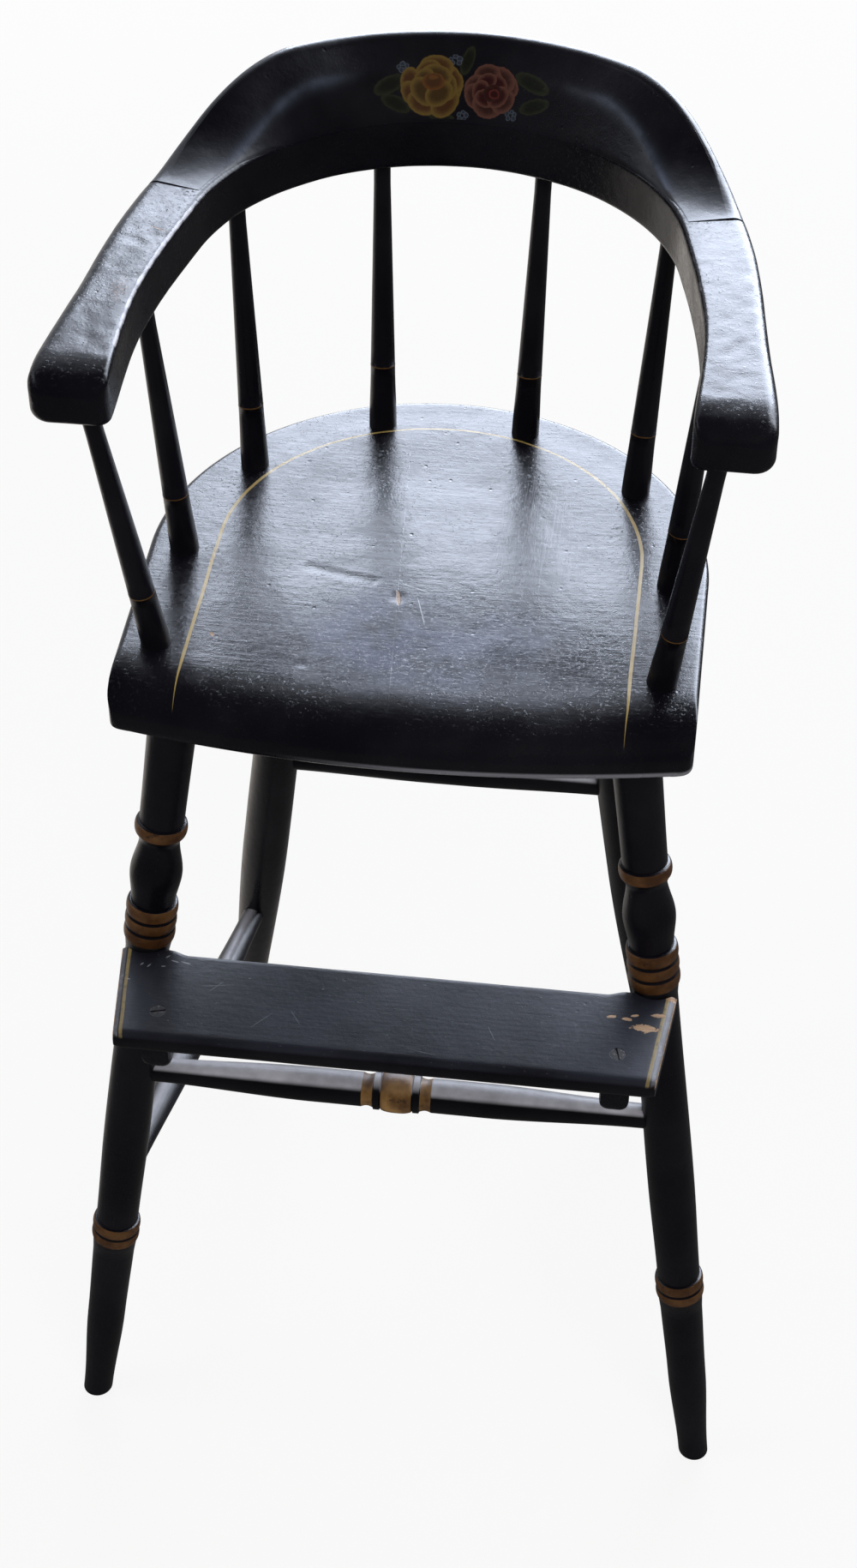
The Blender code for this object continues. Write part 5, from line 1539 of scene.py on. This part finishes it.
def make_block(word, side):
    front, back = FOOTREST_FRONT + BLOCK_SETBACK, LEG_AT_BLOCK.y + BLOCK_IN_LEG
    low = BLOCK_TOP - BLOCK_H
    stops = [front + BLOCK_NOSE * (1.0 - math.cos(0.5 * math.pi * k / 6)) for k in range(7)]
    stops += [front + BLOCK_NOSE + (back - front - BLOCK_NOSE) * k / 12 for k in range(1, 13)]
    rings = []
    for y in stops:
        near = max(0.0, 1.0 - (y - front) / BLOCK_NOSE)
        base = low + BLOCK_NOSE * (1.0 - math.sqrt(max(0.0, 1.0 - near ** 2)))
        half = 0.5 * BLOCK_W - BLOCK_NARROW * near
        rows = [(-half, BLOCK_TOP), (-half, 0.5 * (BLOCK_TOP + base))]
        for k in range(7):
            across, up = (BLOCK_ROUND * turn(math.radians(15 * k)) for turn in (math.cos, math.sin))
            rows.append((-half + BLOCK_ROUND - across, base + BLOCK_ROUND - up))
        rows += [(-x, z) for x, z in rows[::-1]]
        rings.append([(mirror((BLOCK_X + x, y, z), side), 0.4 * near) for x, z in rows])
    block = skin(word + "_footrest_block", rings, ARM_PAINT)
    carve(block, [leg_cutter("leg_cut", side, low - BLOCK_CUT_BELOW, FOOTREST_Z)])
    settle(block, "black_paint", "footrest_block_" + word)


for side, word in SIDES:
    make_block(word, side)
print("blocks at x", round(BLOCK_X, 4))


# %% Screw finish
SCREW_BLACK, SCREW_BARE = (0.010, 0.009, 0.011, 1.0), (0.14, 0.13, 0.13, 1.0)


def screw_finish():
    finish, pen, shader = new_finish("painted_steel")
    place = pen.node("TexCoord", out="Object")
    wear_and_sheen = place.cloud(420.0, 4.0, 0.7)
    bare = wear_and_sheen.step(0.52, 0.66)
    pen.feed(shader.inputs["Base Color"], bare.mix(SCREW_BLACK, SCREW_BARE))
    pen.feed(shader.inputs["Metallic"], bare * 0.85)
    pen.feed(shader.inputs["Roughness"], 0.34 + 0.22 * wear_and_sheen)
    pen.feed(shader.inputs["Normal"], bumps(place.cloud(1600.0, 2.0), 0.0002, 0.4))
    return finish


SCREW_FINISH = screw_finish()
print("screw finish with", len(SCREW_FINISH.node_tree.nodes), "nodes")


# %% Slotted screws by a node tree
HEAD_FACETS, SHANK_FACETS = 48, 24
SCREW_SIZES = {"Head Radius": SCREW_HEAD_R, "Shank Radius": SCREW_SHANK_R, "Length": 0.026,
               "Slot Width": 0.0012, "Slot Depth": 0.0011}


def screw_tree():
    inputs = (("Points", "Geometry"), *((name, "Float") for name in SCREW_SIZES), ("Finish", "Material"))
    tree, wires = node_tree("slotted_screws", "Screws", inputs)
    points, head_r, shank_r, length, slot_w, slot_d, finish = wires

    def lifted(shape, height):
        up = shape.node("CombineXYZ", {"Z": height})
        return shape.node("GeometryNodeTransform", {"Geometry": shape, "Translation": up})

    deep = head_r - shank_r
    shank_long = length - deep
    cone = {"Vertices": HEAD_FACETS, "Radius Top": head_r, "Radius Bottom": shank_r, "Depth": deep}
    head = lifted(points.node("GeometryNodeMeshCone", cone), -1.0 * deep)
    rod = {"Vertices": SHANK_FACETS, "Radius": shank_r, "Depth": shank_long}
    shank = lifted(points.node("GeometryNodeMeshCylinder", rod), -0.5 * shank_long - 0.98 * deep)
    whole = points.node("GeometryNodeMeshBoolean", {"Mesh 2": head}, operation="UNION")
    points.feed(whole.socket.node.inputs["Mesh 2"], shank)
    size = points.node("CombineXYZ", {"X": 3.0 * head_r, "Y": slot_w, "Z": 2.0 * slot_d})
    cut = {"Mesh 1": whole, "Mesh 2": points.node("GeometryNodeMeshCube", {"Size": size})}
    slotted = points.node("GeometryNodeMeshBoolean", cut, operation="DIFFERENCE")
    aim = points.node("GeometryNodeInputNamedAttribute", {"Name": "aim"}, out="Attribute",
                      data_type="FLOAT_VECTOR")
    turn = points.node("FunctionNodeEulerToRotation", {"Euler": aim})
    copies = {"Points": points, "Instance": slotted, "Rotation": turn}
    return end_tree(tree, points.node("GeometryNodeInstanceOnPoints", copies), finish)


SCREW_TREE = screw_tree()
print("screw tree with", len(SCREW_TREE.nodes), "nodes")


# %% Set the four screws
def screw_points():
    """Middle of each screw head and the turn that points its head outward."""
    for side, word, spin in ((-1, "left", 15.0), (1, "right", 105.0)):
        top = Vector((side * BLOCK_X, FOOTREST_FRONT + SCREW_SETBACK, FOOTREST_Z - HEAD_SUNK))
        yield "footrest_screw_" + word, top, (0.0, 0.0, math.radians(spin))
        inner = Vector((side * (BLOCK_X - 0.5 * BLOCK_W), LEG_AT_BLOCK.y, BLOCK_MID_Z))
        yield "block_screw_" + word, inner, (0.0, math.radians(-90.0 * side), 0.0)


rows = list(screw_points())
points = bpy.data.meshes.new("screw_points")
points.from_pydata([place for name, place, aim in rows], [], [])
store_vectors(points, "aim", [aim for name, place, aim in rows])
screws = run_nodes("slotted_screws", points, SCREW_TREE, Finish=SCREW_FINISH, **SCREW_SIZES)
settle(screws, "screw_steel", *[name for name, place, aim in rows])
print(len(rows), "screws,", len(screws.data.polygons), "faces")

# %% [markdown]
# ## Hidden dowels
# Four dowels hold the crest on the bow. No one sees them, but a part that is taken apart should still show
# wood.


# %% Wood for the dowels
def dowel_wood():
    finish, pen, shader = new_finish("dowel_wood")
    place = pen.node("TexCoord", out="Object")
    pen.feed(shader.inputs["Base Color"], wood_colour(place))
    pen.feed(shader.inputs["Roughness"], 0.5 + 0.25 * place.cloud(200.0, 3.0))
    grain = place.stretch((500.0, 500.0, 40.0)).cloud(1.0, 3.0)
    pen.feed(shader.inputs["Normal"], bumps(grain, 0.0003, 0.5))
    return finish


DOWEL_WOOD = dowel_wood()
for name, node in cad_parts.items():
    if name.startswith("crest_dowel"):
        node.data.materials.clear()
        node.data.materials.append(DOWEL_WOOD)
print("dowel wood with", len(DOWEL_WOOD.node_tree.nodes), "nodes")
